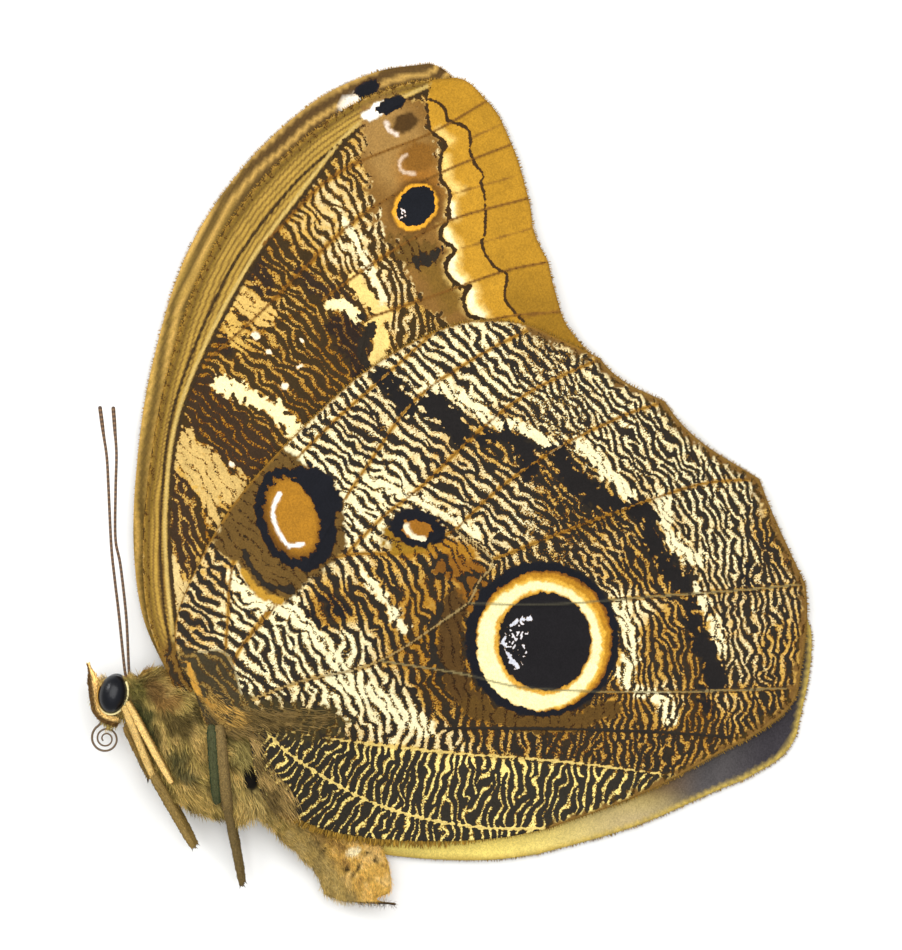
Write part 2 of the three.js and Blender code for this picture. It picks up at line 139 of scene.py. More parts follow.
def add_object(name, data):
    made = bpy.data.objects.new(name, data)
    bpy.context.scene.collection.objects.link(made)
    return made


def piece_from(name, places, faces):
    """A smooth mesh object from places in millimetres on the drawing plane."""
    mesh = bpy.data.meshes.new(name)
    mesh.from_pydata(((np.asarray(places) + ORIGIN) * MM).tolist(), [], faces)
    mesh.shade_smooth()
    return add_object(name, mesh)


# %% [markdown]
# ## Camera, floor and light
#
# The insect is nearly flat, so a long lens from straight above shows it as a copying stand would.
# The floor is a pale card. One big soft lamp near the camera and a bright surround keep the shadows
# faint, and a smaller lamp from the upper left gives the glossy eye its highlight.

# %% Camera
LENS = 200
SENSOR = 36
PICTURE_HEIGHT = 114.0
FOCUS_ON_PLAN = (29.5, 25.8)
FOCUS_LEVEL = 3.0
camera_height = PICTURE_HEIGHT * LENS / SENSOR
camera_data = bpy.data.cameras.new("camera")
camera_data.lens = LENS
camera_data.sensor_width = SENSOR
camera = add_object("camera", camera_data)
camera.location = (np.append(FOCUS_ON_PLAN, FOCUS_LEVEL + camera_height) + ORIGIN) * MM
bpy.context.scene.camera = camera
print("camera height in mm:", camera_height)


# %% Colours and nodes
def linear(code):
    """An sRGB hex colour as linear red, green and blue."""
    srgb = [int(code[i : i + 2], 16) / 255 for i in (1, 3, 5)]
    return [c / 12.92 if c <= 0.04045 else ((c + 0.055) / 1.055) ** 2.4 for c in srgb]


def live(sockets, key):
    """The socket of this number, or of this name and in use: some nodes keep one for each type."""
    return (sockets[key] if isinstance(key, int)
            else next(s for s in sockets if s.name == key and s.enabled))


def feed(tree, node, inputs):
    """Links each input to the socket given for it, or sets it to the plain value given."""
    for key, value in inputs.items():
        if isinstance(value, bpy.types.NodeSocket):
            tree.links.new(value, live(node.inputs, key))
        else:
            live(node.inputs, key).default_value = value


def add_node(tree, kind, inputs=None, **settings):
    node = tree.nodes.new(kind)
    for key, value in settings.items():
        setattr(node, key, value)
    feed(tree, node, inputs or {})
    return node


def new_material(name):
    """A material, its tree, and its shader, which is linked to the output."""
    material = bpy.data.materials.new(name)
    material.use_nodes = True
    tree = material.node_tree
    tree.nodes.clear()
    shader = add_node(tree, "ShaderNodeBsdfPrincipled")
    add_node(tree, "ShaderNodeOutputMaterial", {"Surface": shader.outputs["BSDF"]})
    return material, tree, shader


# %% Floor, lamps and surround
FLOOR_HALF = 0.6
FLOOR_GAP = 0.0002
floor_level = CAD_BOX[0][2] - FLOOR_GAP
corners = [(x * FLOOR_HALF, y * FLOOR_HALF, floor_level)
           for x, y in ((-1, -1), (1, -1), (1, 1), (-1, 1))]
floor_mesh = bpy.data.meshes.new("floor")
floor_mesh.from_pydata(corners, [], [(0, 1, 2, 3)])
floor = add_object("floor", floor_mesh)
card, card_tree, card_shader = new_material("pale card")
feed(card_tree, card_shader, {"Base Color": linear("#F7F7F5") + [1], "Roughness": 0.9})
floor_mesh.materials.append(card)

LAMPS = {"overhead lamp": ((0.05, 0.1, 0.7), 0.7, 5.1), "side lamp": ((-0.45, 0.35, 0.4), 0.25, 1.8)}
for name, (place, size, watts) in LAMPS.items():
    data = bpy.data.lights.new(name, "AREA")
    data.size, data.energy = size, watts
    light = add_object(name, data)
    light.location = place
    light.rotation_euler = Vector(place).to_track_quat("Z", "Y").to_euler()
world = bpy.data.worlds.new("studio")
world.use_nodes = True
feed(world.node_tree, world.node_tree.nodes["Background"], {"Color": (1, 1, 1, 1), "Strength": 0.43})
bpy.context.scene.world = world
bpy.context.scene.view_settings.view_transform = "Standard"
print("lamps:", list(LAMPS))

# %% [markdown]
# ## The plan of the wings
#
# A butterfly's wing is a thin sheet held by stiff veins. Each vein here is a short list of places
# that it passes, and the outer edge runs from vein end to vein end with a shallow scallop between.
# The same places give the outline, the ridges of the veins and the frame of the markings.

# %% Veins and edges
FOREWING = {
    "leading": [(-2.2, -2.8), (-4, 1.7), (-6.6, 8.4), (-7.4, 16.8), (-6.7, 26.4), (-4.6, 37.8),
                (0, 51.2), (6.8, 61.2), (15.6, 69.1), (23.4, 72.7), (30, 73.6)],
    "veins": {
        "subcosta": [(-3.6, 3), (-5, 12), (-5.2, 22), (-3.6, 34.5), (2.5, 49.5), (10, 60), (17, 66.5)],
        "radius": [(-2.6, 3), (-3.8, 12), (-4.2, 22), (-2.5, 34), (4.2, 48.5), (12.6, 60.5),
                   (19.4, 68.2), (30, 73.6)],
        "radius_5": [(6.9, 53.5), (15.6, 61.9), (27, 66.9), (33.8, 70.8)],
        "media_1": [(0.1, 39.4), (6.8, 45.5), (18, 56.4), (28, 62), (36.8, 65.6)],
        "media_2": [(14, 46.8), (21.6, 52.2), (29.4, 56.4), (38.8, 59.1)],
        "media_3": [(19.4, 44.6), (27, 47.2), (35.6, 50.2), (41.2, 51.4)],
        "cubitus_1": [(17.8, 37), (26, 41.5), (35, 44.6), (42.7, 45.4)],
        "cubitus_2": [(13.4, 25.5), (26, 34.8), (36, 39.3), (46, 40.6)],
        "anal": [(3.4, 1.4), (16.8, 14), (31, 25.5), (42.6, 33.6), (47.8, 35.8)],
        "cell_front": [(1.2, 3), (0.2, 22), (0.1, 39.4), (6.6, 43), (14, 46.8)],
        "cell_back": [(2.4, 3), (7.4, 14.5), (13.4, 25.5), (17.8, 37), (19.4, 44.6)],
        "cell_end": [(14, 46.8), (16.8, 45.2), (19.4, 44.6)],
    },
    "margin": [(30, 73.6), (33.8, 70.8), (36.8, 65.6), (38.8, 59.1), (39.3, 55.7), (41.2, 51.4),
               (42.7, 45.4), (46, 40.6), (47.8, 35.8)],
    "sags": [-0.5, -0.35, -0.15, -0.1, 0.15, 0.1, 0.35, -0.4],
    "trailing": [(47.8, 35.8), (45, 32.6), (35.5, 26.2), (21, 15), (9, 4.4), (4.6, -0.6), (1.4, -4)],
}
HINDWING = {
    "leading": [(0.2, -3.6), (-1.2, 0.6), (-2.8, 3.4), (-3.4, 6.4), (-3, 9.6), (-1.4, 13.6),
                (1, 18.4), (4.2, 23.3), (8.5, 28.2), (13.8, 33.5), (19.2, 38.2), (25.8, 42.2),
                (31.8, 44.2), (37.8, 44), (42.6, 42.1), (47.4, 39.8)],
    "veins": {
        "subcosta": [(2.6, 2), (2.9, 8.4), (3.6, 15.6), (7, 23), (13.8, 30.6), (20.6, 36.8),
                     (28, 43.4)],
        "radial": [(4.6, 5.4), (11.4, 13.8), (15.6, 21), (19.8, 27.4), (25.2, 34.8), (33, 40.2),
                   (39.2, 43.4)],
        "media_1": [(16.8, 16.2), (21.6, 21), (25.8, 24.3), (33, 31.2), (39, 35.8), (47.4, 39.8)],
        "media_2": [(30, 19.2), (35.4, 24.3), (42.6, 29.2), (50.4, 33), (55.2, 34.6)],
        "media_3": [(34.4, 15.6), (42, 18.6), (52.2, 22.4), (60, 24.8), (66.6, 25.3)],
        "cubitus_1": [(31.6, 10.4), (42, 10.3), (54, 11.2), (64.8, 12), (72.1, 12.7)],
        "cubitus_2": [(21, 3.6), (30.6, 2), (39, 0.2), (54, -0.3), (71.3, 0.2)],
        "fold": [(28.2, -4.6), (42, -4.7), (54, -5.1), (65.4, -5.9)],
        "anal_1": [(6.6, -3.8), (15, -5.6), (28, -7.4), (42.6, -8.6), (56.8, -10.4)],
        "anal_2": [(6.4, -3.4), (11.4, -8.2), (21, -13.8), (31.8, -16.4), (41.2, -16.7)],
        "cell_front": [(3, 1), (4.6, 5.4), (11.4, 13.8), (16.8, 16.2), (24, 16.6), (30, 19.2)],
        "cell_back": [(4.4, -1.4), (11.4, 1.2), (21, 3.6), (31.6, 10.4)],
        "cell_end": [(30, 19.2), (34.4, 15.6), (33, 13.2), (31.6, 10.4)],
    },
    "margin": [(47.4, 39.8), (55.2, 34.6), (66.6, 25.3), (72.1, 12.7), (71.3, 0.2), (65.4, -5.9),
               (56.8, -10.4), (41.2, -16.7)],
    "sags": [0.7, 1, 0.2, -0.5, -0.9, 0.1, -0.4],
    "trailing": [(41.2, -16.7), (35.4, -17.8), (28.2, -18.2), (21, -17.9), (15, -16.8), (10.9, -15.1),
                 (7.6, -13.2), (6.2, -9.6), (5.4, -5.4), (3, -5)],
}
HINGE = np.array([2.4, -0.6])
EDGE_STEP = 0.24
VEIN_STEP = 0.5


def wing_outline(plan):
    """The closed outline: smooth front edge, scallops between the vein ends, smooth rear edge."""
    line = [spline(plan["leading"], EDGE_STEP)[:-1]]
    for start, end, sag in zip(plan["margin"][:-1], plan["margin"][1:], plan["sags"]):
        chord = np.subtract(end, start)
        length = np.hypot(*chord)
        inwards = np.array([chord[1], -chord[0]]) / length
        t = np.linspace(0, 1, max(2, round(length / EDGE_STEP)), endpoint=False)[:, None]
        line.append(start + chord * t + inwards * sag * np.sin(np.pi * t**0.75) ** 1.2)
    return np.vstack(line + [spline(plan["trailing"], EDGE_STEP)])


for plan in (FOREWING, HINDWING):
    plan["lines"] = {name: spline(points, VEIN_STEP) for name, points in plan["veins"].items()}
    plan["front"] = spline(plan["leading"], VEIN_STEP)
    plan["outline"] = wing_outline(plan)
    print("outline of", len(plan["outline"]), "points,", len(plan["lines"]), "veins")

# %% [markdown]
# ## Fine meshes for painting
#
# The markings are painted on vertices, so the face that shows them has its vertices about a fifth
# of a millimetre apart. A constrained Delaunay triangulation fills the outline with a hexagonal
# grid. The hidden face gets a much coarser one with the same rim.

# %% Triangulating an outline
FINE_STEP = 0.225
COARSE_STEP = 0.55
RIM_CLEAR = 0.8 * EDGE_STEP


def filled(outline, step):
    """Places and triangles inside an outline, whose own points come first and stay in order."""
    low, high = outline.min(axis=0), outline.max(axis=0)
    rows = np.arange(low[1], high[1], step * math.sqrt(3) / 2)
    x, y = np.meshgrid(np.arange(low[0], high[0], step), rows)
    x = x + (np.arange(len(rows)) % 2)[:, None] * step / 2
    grid = np.stack([x.ravel(), y.ravel()], axis=1)
    grid = grid[within(*grid.T, outline)]
    cells = {}
    for x, y in outline[::2]:
        cells.setdefault((int(x), int(y)), []).append((x, y))
    around = [(u, v) for u in (-1, 0, 1) for v in (-1, 0, 1)]
    clear = [all((x - a) ** 2 + (y - b) ** 2 > RIM_CLEAR**2 for u, v in around
                 for a, b in cells.get((int(x) + u, int(y) + v), ())) for x, y in grid]
    places = np.vstack([outline, grid[clear]])
    edges = [(i, (i + 1) % len(outline)) for i in range(len(outline))]
    triangles = np.array(delaunay_2d_cdt([Vector(p) for p in places], edges, [], 1, 1e-6)[2])
    a, b, c = (places[triangles[:, k]] for k in range(3))
    turn = (b[:, 0] - a[:, 0]) * (c[:, 1] - a[:, 1]) - (b[:, 1] - a[:, 1]) * (c[:, 0] - a[:, 0])
    triangles[turn < 0] = triangles[turn < 0][:, ::-1]
    return places, triangles


for plan in (FOREWING, HINDWING):
    plan["fine"] = filled(plan["outline"], FINE_STEP)
    plan["coarse"] = filled(plan["outline"], COARSE_STEP)
    print("fine", len(plan["fine"][1]), "coarse", len(plan["coarse"][1]), "triangles")

# %% [markdown]
# ## Ripples
#
# The wavy lines of an owl butterfly branch and break but keep an even spacing. Bands like these
# come out of plain random noise when a filter keeps only the waves of one spacing and direction.
# Twelve such filtered copies, one for every fifteen degrees, are blended by the direction wanted
# at each place. Only the wave's phase is kept, so the lines don't fade.

# %% Band-filtered noise
CELL = 0.12
FIELD_LOW = np.array([-12.0, -24.0])
FIELD_SIZE = (900, 880)
DIRECTIONS = 12
WIGGLE = 0.2
FREQ_Y = np.fft.fftfreq(FIELD_SIZE[0], CELL)[:, None]
FREQ_X = np.fft.fftfreq(FIELD_SIZE[1], CELL)[None, :]


def noise_spectrum(seed):
    return np.fft.fft2(np.random.default_rng(seed).standard_normal(FIELD_SIZE))


def sampled(field, x, y):
    """The field's value at each place, by linear interpolation."""
    u = np.clip((x - FIELD_LOW[0]) / CELL, 0, FIELD_SIZE[1] - 1.001)
    v = np.clip((y - FIELD_LOW[1]) / CELL, 0, FIELD_SIZE[0] - 1.001)
    i, j = v.astype(int), u.astype(int)
    fu, fv = u - j, v - i
    top = field[i, j] * (1 - fu) + field[i, j + 1] * fu
    low = field[i + 1, j] * (1 - fu) + field[i + 1, j + 1] * fu
    return top * (1 - fv) + low * fv


def blotches(seed, size, x, y):
    """Soft noise with spots about size millimetres across, of mean 0 and spread 1."""
    keep = np.exp(-((FREQ_X**2 + FREQ_Y**2) * (2.2 * size) ** 2))
    field = np.fft.ifft2(noise_spectrum(seed) * keep).real
    return sampled(field / field.std(), x, y)


def ripples(seed, spacing, spread, looseness, angle, x, y):
    """Cosine of a wave whose crests run at the given angles, in degrees, a spacing apart."""
    spectrum = noise_spectrum(seed)
    x, y = (v + WIGGLE * blotches(seed + k, 1.0, x, y) for k, v in ((1, x), (2, y)))
    heading = np.degrees(np.arctan2(FREQ_Y, FREQ_X))
    ring = np.exp(-(((np.hypot(FREQ_X, FREQ_Y) - 1 / spacing) * spacing / looseness) ** 2))
    total = np.zeros(x.shape, complex)
    step = 180 / DIRECTIONS
    for k in range(DIRECTIONS):
        off = (heading - (k * step + 90) + 180) % 360 - 180
        wave = np.fft.ifft2(spectrum * ring * np.exp(-((off / spread) ** 2)))
        away = (angle - k * step + 90) % 180 - 90
        weight = np.clip(1 - np.abs(away) / step, 0, 1)
        total += weight * (sampled(wave.real, x, y) + 1j * sampled(wave.imag, x, y))
    return total.real / (np.abs(total) + 1e-12)


# %% [markdown]
# ## Paint
#
# A wing's paint is three values for every vertex: the colour of the pale scales, the colour of the
# dark ones, and how strongly the pale ones win. The shader compares the third with a fine noise,
# which breaks each edge into single scales. A share of 0.5 gives ripples of even width, 1.2 or more
# is solid pale and -0.2 or less is solid dark.

# %% The painter
CREAM, STRAW, OCHRE, BROWN = "#F5EBBC", "#D2A850", "#A8761F", "#6E4A16"
UMBER, SOOT, INK, WHITE = "#3A2C18", "#2A241C", "#15161C", "#FFFDF4"
LINE_STEP = 0.6


class Paint:
    """Places on a wing with the pale and dark colours and the pale share that are painted there."""

    def __init__(self, places, pale, dark=INK, share=1):
        self.x, self.y = places[:, 0], places[:, 1]
        self.pale, self.dark = (np.tile(linear(code), (len(places), 1)) for code in (pale, dark))
        self.share = np.full(len(places), float(share))
        self.rag = 0.6 * self.noise(3, 0.28) + 0.4 * self.noise(4, 0.7)

    def noise(self, seed, size):
        return blotches(seed, size, self.x, self.y)

    def gap(self, line):
        return line_distance(self.x, self.y, line)[0]

    def depth(self, outline):
        return depth(self.x, self.y, outline)

    def reach(self, centre, radii, turn=0):
        """Distance from an ellipse's centre, where 1 is on the ellipse. The turn is in degrees."""
        c, s = math.cos(math.radians(turn)), math.sin(math.radians(turn))
        dx, dy = self.x - centre[0], self.y - centre[1]
        return np.hypot((dx * c + dy * s) / radii[0], (dy * c - dx * s) / radii[1])

    def put(self, mask, pale=None, dark=None, share=None):
        """Lays paint where the mask is 1. The colours reach to the edge of the share."""
        full = np.clip(mask * (1 if share is None else 2), 0, 1)[:, None]
        if pale:
            self.pale += (linear(pale) - self.pale) * full
        if dark:
            self.dark += (linear(dark) - self.dark) * full
        if share is not None:
            self.share += (share - self.share) * mask

    def marks(self, rows):
        """Paints rows of shape, size, softness, raggedness and then what put takes. A size that is
        a half width makes a stroke along a line, and two radii and a turn make an oval."""
        for shape, size, soft, ragged, *paint in rows:
            if isinstance(size, tuple):
                least = min(size[:2])
                edge, band = 1 + ragged * self.rag / least, soft / least
                mask = fade(edge - band, edge + band, self.reach(shape, size[:2], size[2]))
            else:
                gap = self.gap(spline(shape, LINE_STEP) if len(shape) > 2 else shape)
                mask = fade(size - soft, size + soft, gap + ragged * self.rag)
            self.put(mask, *paint)

    def follow(self, notes):
        """Angle and two values at every place, blended from notes of x, y, angle and values."""
        sums = np.zeros((4, len(self.x)), complex)
        for px, py, angle, first, second in notes:
            weight = 1 / ((self.x - px) ** 2 + (self.y - py) ** 2 + 0.5) ** 2
            sums += weight * np.array([1, np.exp(2j * math.radians(angle)), first, second])[:, None]
        total, turn, first, second = sums
        return np.degrees(np.angle(turn)) / 2, first.real / total.real, second.real / total.real

    def tint(self, warmth):
        """Pale scales from cream over straw to ochre."""
        steps = np.array([linear(code) for code in (CREAM, STRAW, OCHRE)])
        self.pale = np.stack([np.interp(warmth, (0, 0.5, 1), steps[:, k]) for k in range(3)], axis=1)

    def level(self, wave):
        """What the shader gets: above 0 the pale scales win, and beyond 0 to 1 the ripples fade."""
        part = np.clip(self.share, 0, 1)
        beyond = self.share - part
        return wave * np.clip(1 - 5 * np.abs(beyond), 0, 1) - np.cos(np.pi * part) + 4 * beyond


# %% [markdown]
# ## Markings of the hindwing
#
# The underside of the hindwing carries the great eyespot. First come the ripples, whose direction,
# width and warmth are noted at a few dozen places. Then follow the pale and dark bands, the brown
# fields, the veins, and last the eyespots, each one a set of nested ovals.

# %% Ripple notes of the hindwing: x, y, direction of the crests, share of pale, warmth
HIND_NOTES = [
    (-0.6, 12, -42, 0.36, 0.3), (-1.8, 6, -38, 0.34, 0.35), (1.2, 15.6, -45, 0.4, 0.4),
    (4.8, 8.4, -28, 0.45, 0), (7.2, 10.8, -20, 0.55, 0), (8.4, 4.8, -50, 0.42, 0),
    (12.6, 6, -68, 0.45, 0), (16.2, 5.4, -75, 0.48, 0), (10.2, 9.6, -40, 0.5, 0),
    (15, 9.6, -60, 0.3, 0.9), (21, 12, -58, 0.3, 0.6), (25.8, 10.8, -75, 0.45, 0.9),
    (23.4, 14.4, -58, 0.35, 0.5), (27, 4.8, -82, 0.4, 0.95), (16.8, 15.6, -55, 0.42, 0.2),
    (16.2, 26.4, -35, 0.45, 0), (22.2, 25.2, -28, 0.5, 0), (19.8, 30, -40, 0.4, 0.15),
    (17.4, 19.2, -50, 0.5, 0), (15, 22.8, -38, 0.6, 0), (20.4, 19.8, -50, 0.5, 0),
    (27, 22.8, -35, 0.45, 0.15), (29.4, 26.4, -40, 0.42, 0.3), (33, 24, -45, 0.45, 0.2),
    (35.4, 30, -45, 0.4, 0.5), (27, 40.8, -40, 0.45, 0.05), (33, 41.4, -43, 0.48, 0),
    (39, 40.8, -50, 0.5, 0.2), (35.4, 37.2, -45, 0.54, 0), (42.6, 34.8, -52, 0.5, 0.05),
    (49.8, 31.2, -58, 0.52, 0.05), (53.4, 30, -60, 0.45, 0.1), (37.8, 21.6, -42, 0.5, 0.15),
    (42.6, 24, -46, 0.4, 0.5), (46.2, 20.4, -50, 0.36, 0.6), (47.4, 16.8, -56, 0.5, 0.35),
    (52.2, 14.4, -60, 0.38, 0.6), (51, 9.6, -62, 0.62, 0.1), (54.6, 6, -75, 0.48, 0.7),
    (58.2, 3.6, -85, 0.42, 0.8), (58.2, 27.6, -65, 0.5, 0.05), (61.8, 22.8, -72, 0.5, 0.05),
    (64.2, 16.8, -76, 0.5, 0.05), (67.8, 18, -74, 0.35, 0.5), (66.6, 10.8, -80, 0.45, 0.25),
    (64.2, 4.8, -85, 0.5, 0.2), (69, 4.8, -85, 0.5, 0.5), (63, -1.2, -86, 0.5, 0.4),
    (66.6, -3, -80, 0.4, 0.6), (17.4, 0, -66, 0.52, 0), (23.4, -2.4, -68, 0.5, 0),
    (28.2, 0, -80, 0.24, 0.95), (33, -3, 88, 0.3, 0.9), (42.6, -3, 85, 0.3, 0.9),
    (52.2, -2.4, 86, 0.48, 0.8), (55.2, -1.2, 86, 0.5, 0.3), (59.4, -3.6, 86, 0.36, 0.9),
    (29.4, -6.6, 84, 0.45, 0.2), (37.8, -6.6, 88, 0.4, 0.5), (47.4, -7.2, 86, 0.4, 0.7),
    (57, -7.8, 80, 0.42, 0.7), (23.4, -5.4, 84, 0.5, 0.1), (13.8, -7.8, 55, 0.22, 0.4),
    (17.4, -10.8, 62, 0.22, 0.4), (23.4, -9.6, 72, 0.21, 0.4), (31.8, -12, 79, 0.21, 0.4),
    (41.4, -13.2, 75, 0.22, 0.4), (49.8, -12.6, 68, 0.23, 0.4), (54.6, -10.8, 66, 0.24, 0.45),
    (21, -15.6, 70, 0.24, 0.4), (33, -16.6, 84, 0.25, 0.4), (11.4, -13.2, 50, 0.2, 0.5),
]

# %% Bands of the hindwing: line, half width, share
PALE_BANDS = [
    ([(10.2, 28.8), (12.6, 26.6), (15.2, 24), (17.4, 22.8)], 0.65, 0.95),
    ([(19.3, 25.4), (23.4, 23.9), (28, 21.4), (32.8, 18.8)], 0.55, 0.9),
    ([(18.8, 14), (21.5, 11), (23.9, 7.4)], 0.5, 0.9),
    ([(6.8, 11), (10.9, 9), (14, 6), (16.9, 3.1)], 0.8, 0.78),
    ([(3.2, 13.8), (4.6, 11.8), (7.6, 10.1), (10.2, 9.6)], 0.5, 0.95),
    ([(15.6, 1.7), (19.3, 0), (23.2, -2.6), (26.4, -4.6)], 1.3, 0.72),
    ([(26.8, 36.7), (29.6, 35.8), (32.8, 33.8), (35.8, 31.4)], 0.75, 0.86),
    ([(36.8, 31.9), (40.8, 30), (42.8, 28.1)], 0.75, 0.86),
    ([(45, 29.5), (47.6, 26.9), (50.8, 23.3)], 0.9, 0.86),
    ([(54.6, 22.8), (55.6, 19.8), (56.5, 17.4), (59.4, 15.6)], 0.8, 0.85),
    ([(58.9, 12.6), (59.9, 10.1)], 0.6, 0.8), ([(61.1, 8.4), (62, 4.8)], 0.5, 0.75),
    ([(50, 10.1), (51, 6), (50.5, 0.7)], 0.9, 0.68),
    ([(52.2, -0.2), (55.1, -1.2), (55.6, -3.6)], 0.8, 0.6),
]
DARK_BANDS = [
    ([(21.5, 37.2), (22.9, 35.8), (24.1, 34.3)], 1.3, -0.2),
    ([(27, 34.3), (29, 32.9), (30.8, 30.7)], 1.35, -0.2),
    ([(33.2, 30.4), (36.4, 30.5), (38.6, 29.5)], 0.75, -0.2),
    ([(38.3, 29.2), (39.1, 26.4)], 1.05, -0.2), ([(42.4, 28.4), (43.6, 25.9)], 1.1, -0.2),
    ([(44.2, 25.4), (46.9, 23.3), (49.1, 22.1)], 1.25, -0.2),
    ([(51.5, 21.8), (53.2, 21.1)], 0.95, -0.2), ([(53.2, 20.4), (53.9, 17)], 0.9, -0.2),
    ([(55.1, 15.4), (56, 13.9), (57.5, 12)], 1.15, -0.2), ([(58.2, 10.8), (58.9, 7.2)], 0.85, -0.2),
    ([(59.6, 5.5), (60.8, 3.4), (61.3, 1)], 1.2, -0.2), ([(59.4, -0.5), (60.6, -2.9)], 0.7, -0.1),
    ([(64.7, 15.6), (65.2, 12)], 0.5, 0), ([(15, 10.8), (16.4, 9.4)], 1, 0.08),
    ([(12.8, 9.4), (14, 7.7)], 0.6, 0.05),
]
BAND_WIDTH = 0.9

# %% Fields of the hindwing: outlines
COSTAL_FIELD = [
    (1, 17), (2.2, 20.4), (4.2, 23.4), (6.6, 26.4), (9.2, 28.8), (11.4, 27.4), (15, 24.6), (16.9, 19.8),
    (16.7, 17), (14.5, 14.6), (11.4, 12.5), (10.2, 10.7), (7.6, 11.2), (5.2, 12.7), (4, 15.6),
]
ROOT_FIELD = [
    (-4, 4.8), (-1.3, 4.7), (2.8, 4.7), (3.8, 2.2), (4.7, -0.2), (5.6, -2.6), (5.4, -6), (-3.6, -6),
]
BEHIND = [(56.8, -24), (0, -24)]


def paint_hindwing(places):
    """The underside of a hindwing: pale colour, dark colour and level of each place."""
    art = Paint(places, CREAM, SOOT, 0.5)
    angle, art.share, warmth = art.follow(HIND_NOTES)
    angle = angle + 7 * art.noise(11, 1.6)
    veins = HINDWING["lines"]
    below = art.gap(veins["anal_1"])
    rear = within(art.x, art.y, np.vstack([veins["anal_1"], BEHIND]))
    rear = smooth(-0.8, 0.8, np.where(rear, below, -below))
    wave = ripples(21, 1.2, 19, 0.3, angle, art.x, art.y)
    wave += (ripples(24, 0.93, 26, 0.35, angle, art.x, art.y) - wave) * smooth(34, 50, art.x)
    wave += (ripples(22, 1.02, 9, 0.22, angle, art.x, art.y) - wave) * rear + 0.16 * art.rag
    near_vein = np.min([art.gap(line) for name, line in veins.items()
                        if name not in ("fold", "cell_end")], axis=0)
    warmth = warmth + 0.7 * fade(0.05, 0.45, near_vein) + 0.1 * art.rag
    art.tint(warmth)
    art.put(rear * 0.9, "#F8E286", "#2E2A22")
    art.share -= 0.02 - 0.02 * rear + 0.1 * (1 - rear) * smooth(24, 40, art.x)
    art.put((1 - rear) * smooth(0.55, 0.9, warmth) * 0.6, dark=UMBER)
    art.marks([(line, half * BAND_WIDTH, 0.4, 0.4, CREAM, None, share - 0.04)
               for line, half, share in PALE_BANDS])
    art.marks([(line, half * BAND_WIDTH, 0.2, 0.5, None, "#1E1B1A", share + 0.06)
               for line, half, share in DARK_BANDS])
    art.marks(BROWN_FIELDS)
    paint_hind_veins(art, veins)
    art.put(smooth(-0.3, 0.3, art.depth(COSTAL_FIELD) + 0.25 * art.rag), "#664C21", "#2C210F", 0.93)
    art.marks(COSTAL_SPOT + SMALL_SPOT + GREAT_SPOT)
    paint_glint(art, veins)
    paint_hind_edges(art)
    return art.pale, art.dark, art.level(wave) * (1.15 + 0.75 * rear)


# %% Brown crescents round the great eyespot and the brown end of the cell
BROWN_FIELDS = [
    ([(30.2, 10.8), (29.3, 5.4), (30.4, 0.7), (32.8, -2.2)], 1.5, 0.15, 0.35, "#543B19", "#33240F",
     0.86),
    ([(31.8, -1.9), (37.8, -3.8), (44.4, -3.8), (48.8, -2.2)], 1.15, 0.2, 0.4, "#5C4219", "#33240F",
     0.9),
    ([(28.2, 10.1), (27.2, 5.8), (28.2, 2.2)], 0.42, 0.2, 0.2, None, SOOT, -0.2),
    ([(29.6, 15.6), (31.8, 13.8), (33, 11)], 1.7, 0.6, 0.4, "#8A5A18", None, 0.75),
    ([(24, 16.6), (28.2, 17.4), (31.8, 16.6)], 0.8, 0.5, 0.4, OCHRE, None, 0.7),
    ((28.3, 14.9), (1.5, 1.35, 30), 0.2, 0.25, None, SOOT, -0.1),
    ((28.3, 14.9), (0.9, 0.75, 30), 0.2, 0.2, "#7A4E16", None, 1.2),
    ((32, 13), (1.3, 1.15, 30), 0.2, 0.25, None, SOOT, -0.1),
    ((32, 13), (0.7, 0.55, 30), 0.2, 0.2, "#7A4E16", None, 1.2),
]


def paint_hind_veins(art, veins):
    """Golden scales along the upper veins, bare grey ones below the cell, pale ones behind."""
    for name, line in veins.items():
        gap = art.gap(line)
        if name in ("anal_1", "anal_2"):
            wide = 0.09 if name == "anal_1" else 0.13
            art.put(fade(wide - 0.07, wide + 0.06, gap + 0.05 * art.rag), "#DCC070", None, 1.1)
        elif name == "fold":
            art.put(fade(0.08, 0.22, gap), None, SOOT, -0.2)
        elif name in ("cell_back", "cubitus_1", "cubitus_2", "cell_end"):
            art.put(fade(0.12, 0.28, gap), None, UMBER, -0.1)
            art.put(fade(0.05, 0.17, gap), "#9C8656", None, 1.15)
        else:
            art.put(0.85 * fade(0.03, 0.19, gap + 0.05 * art.rag), "#94671C", None, 1)
            art.put(0.6 * fade(0.02, 0.12, gap), "#5E4014")


# %% Eyespots of the hindwing: by the front edge, at the front of the cell, and the great one
COSTAL_SPOT = [
    ([(4.9, 16.6), (5.9, 14.4), (7.6, 12.7), (10.4, 12.1)], 0.36, 0.15, 0.15, None, SOOT, -0.2),
    ([(4.9, 14.2), (6.4, 12), (9.2, 10.7)], 0.4, 0.2, 0.15, "#B88A2C", None, 1.1),
    ((10.9, 20.5), (6.4, 4.5, -66), 0.2, 0.12, BROWN, INK, -0.3),
    ((13.6, 24), (3.4, 2, -50), 0.3, 0.2, BROWN, INK, -0.3),
    ((10.4, 20.6), (4.9, 3.05, -72), 0.5, 0.08, "#5E3A0E", None, 1.25),
    ((10.6, 21), (4.1, 2.4, -72), 1.1, 0.05, "#A8741E", None, 1.25),
    ([(9, 23.5), (8.2, 21.4), (8.8, 19.2), (10, 17.5), (11.5, 17.4)], 0.15, 0.18, 0.06, WHITE, None,
     1.3),
    ([(10.3, 17.3), (11.8, 17.6)], 0.16, 0.15, 0.1, WHITE, None, 1.3),
]
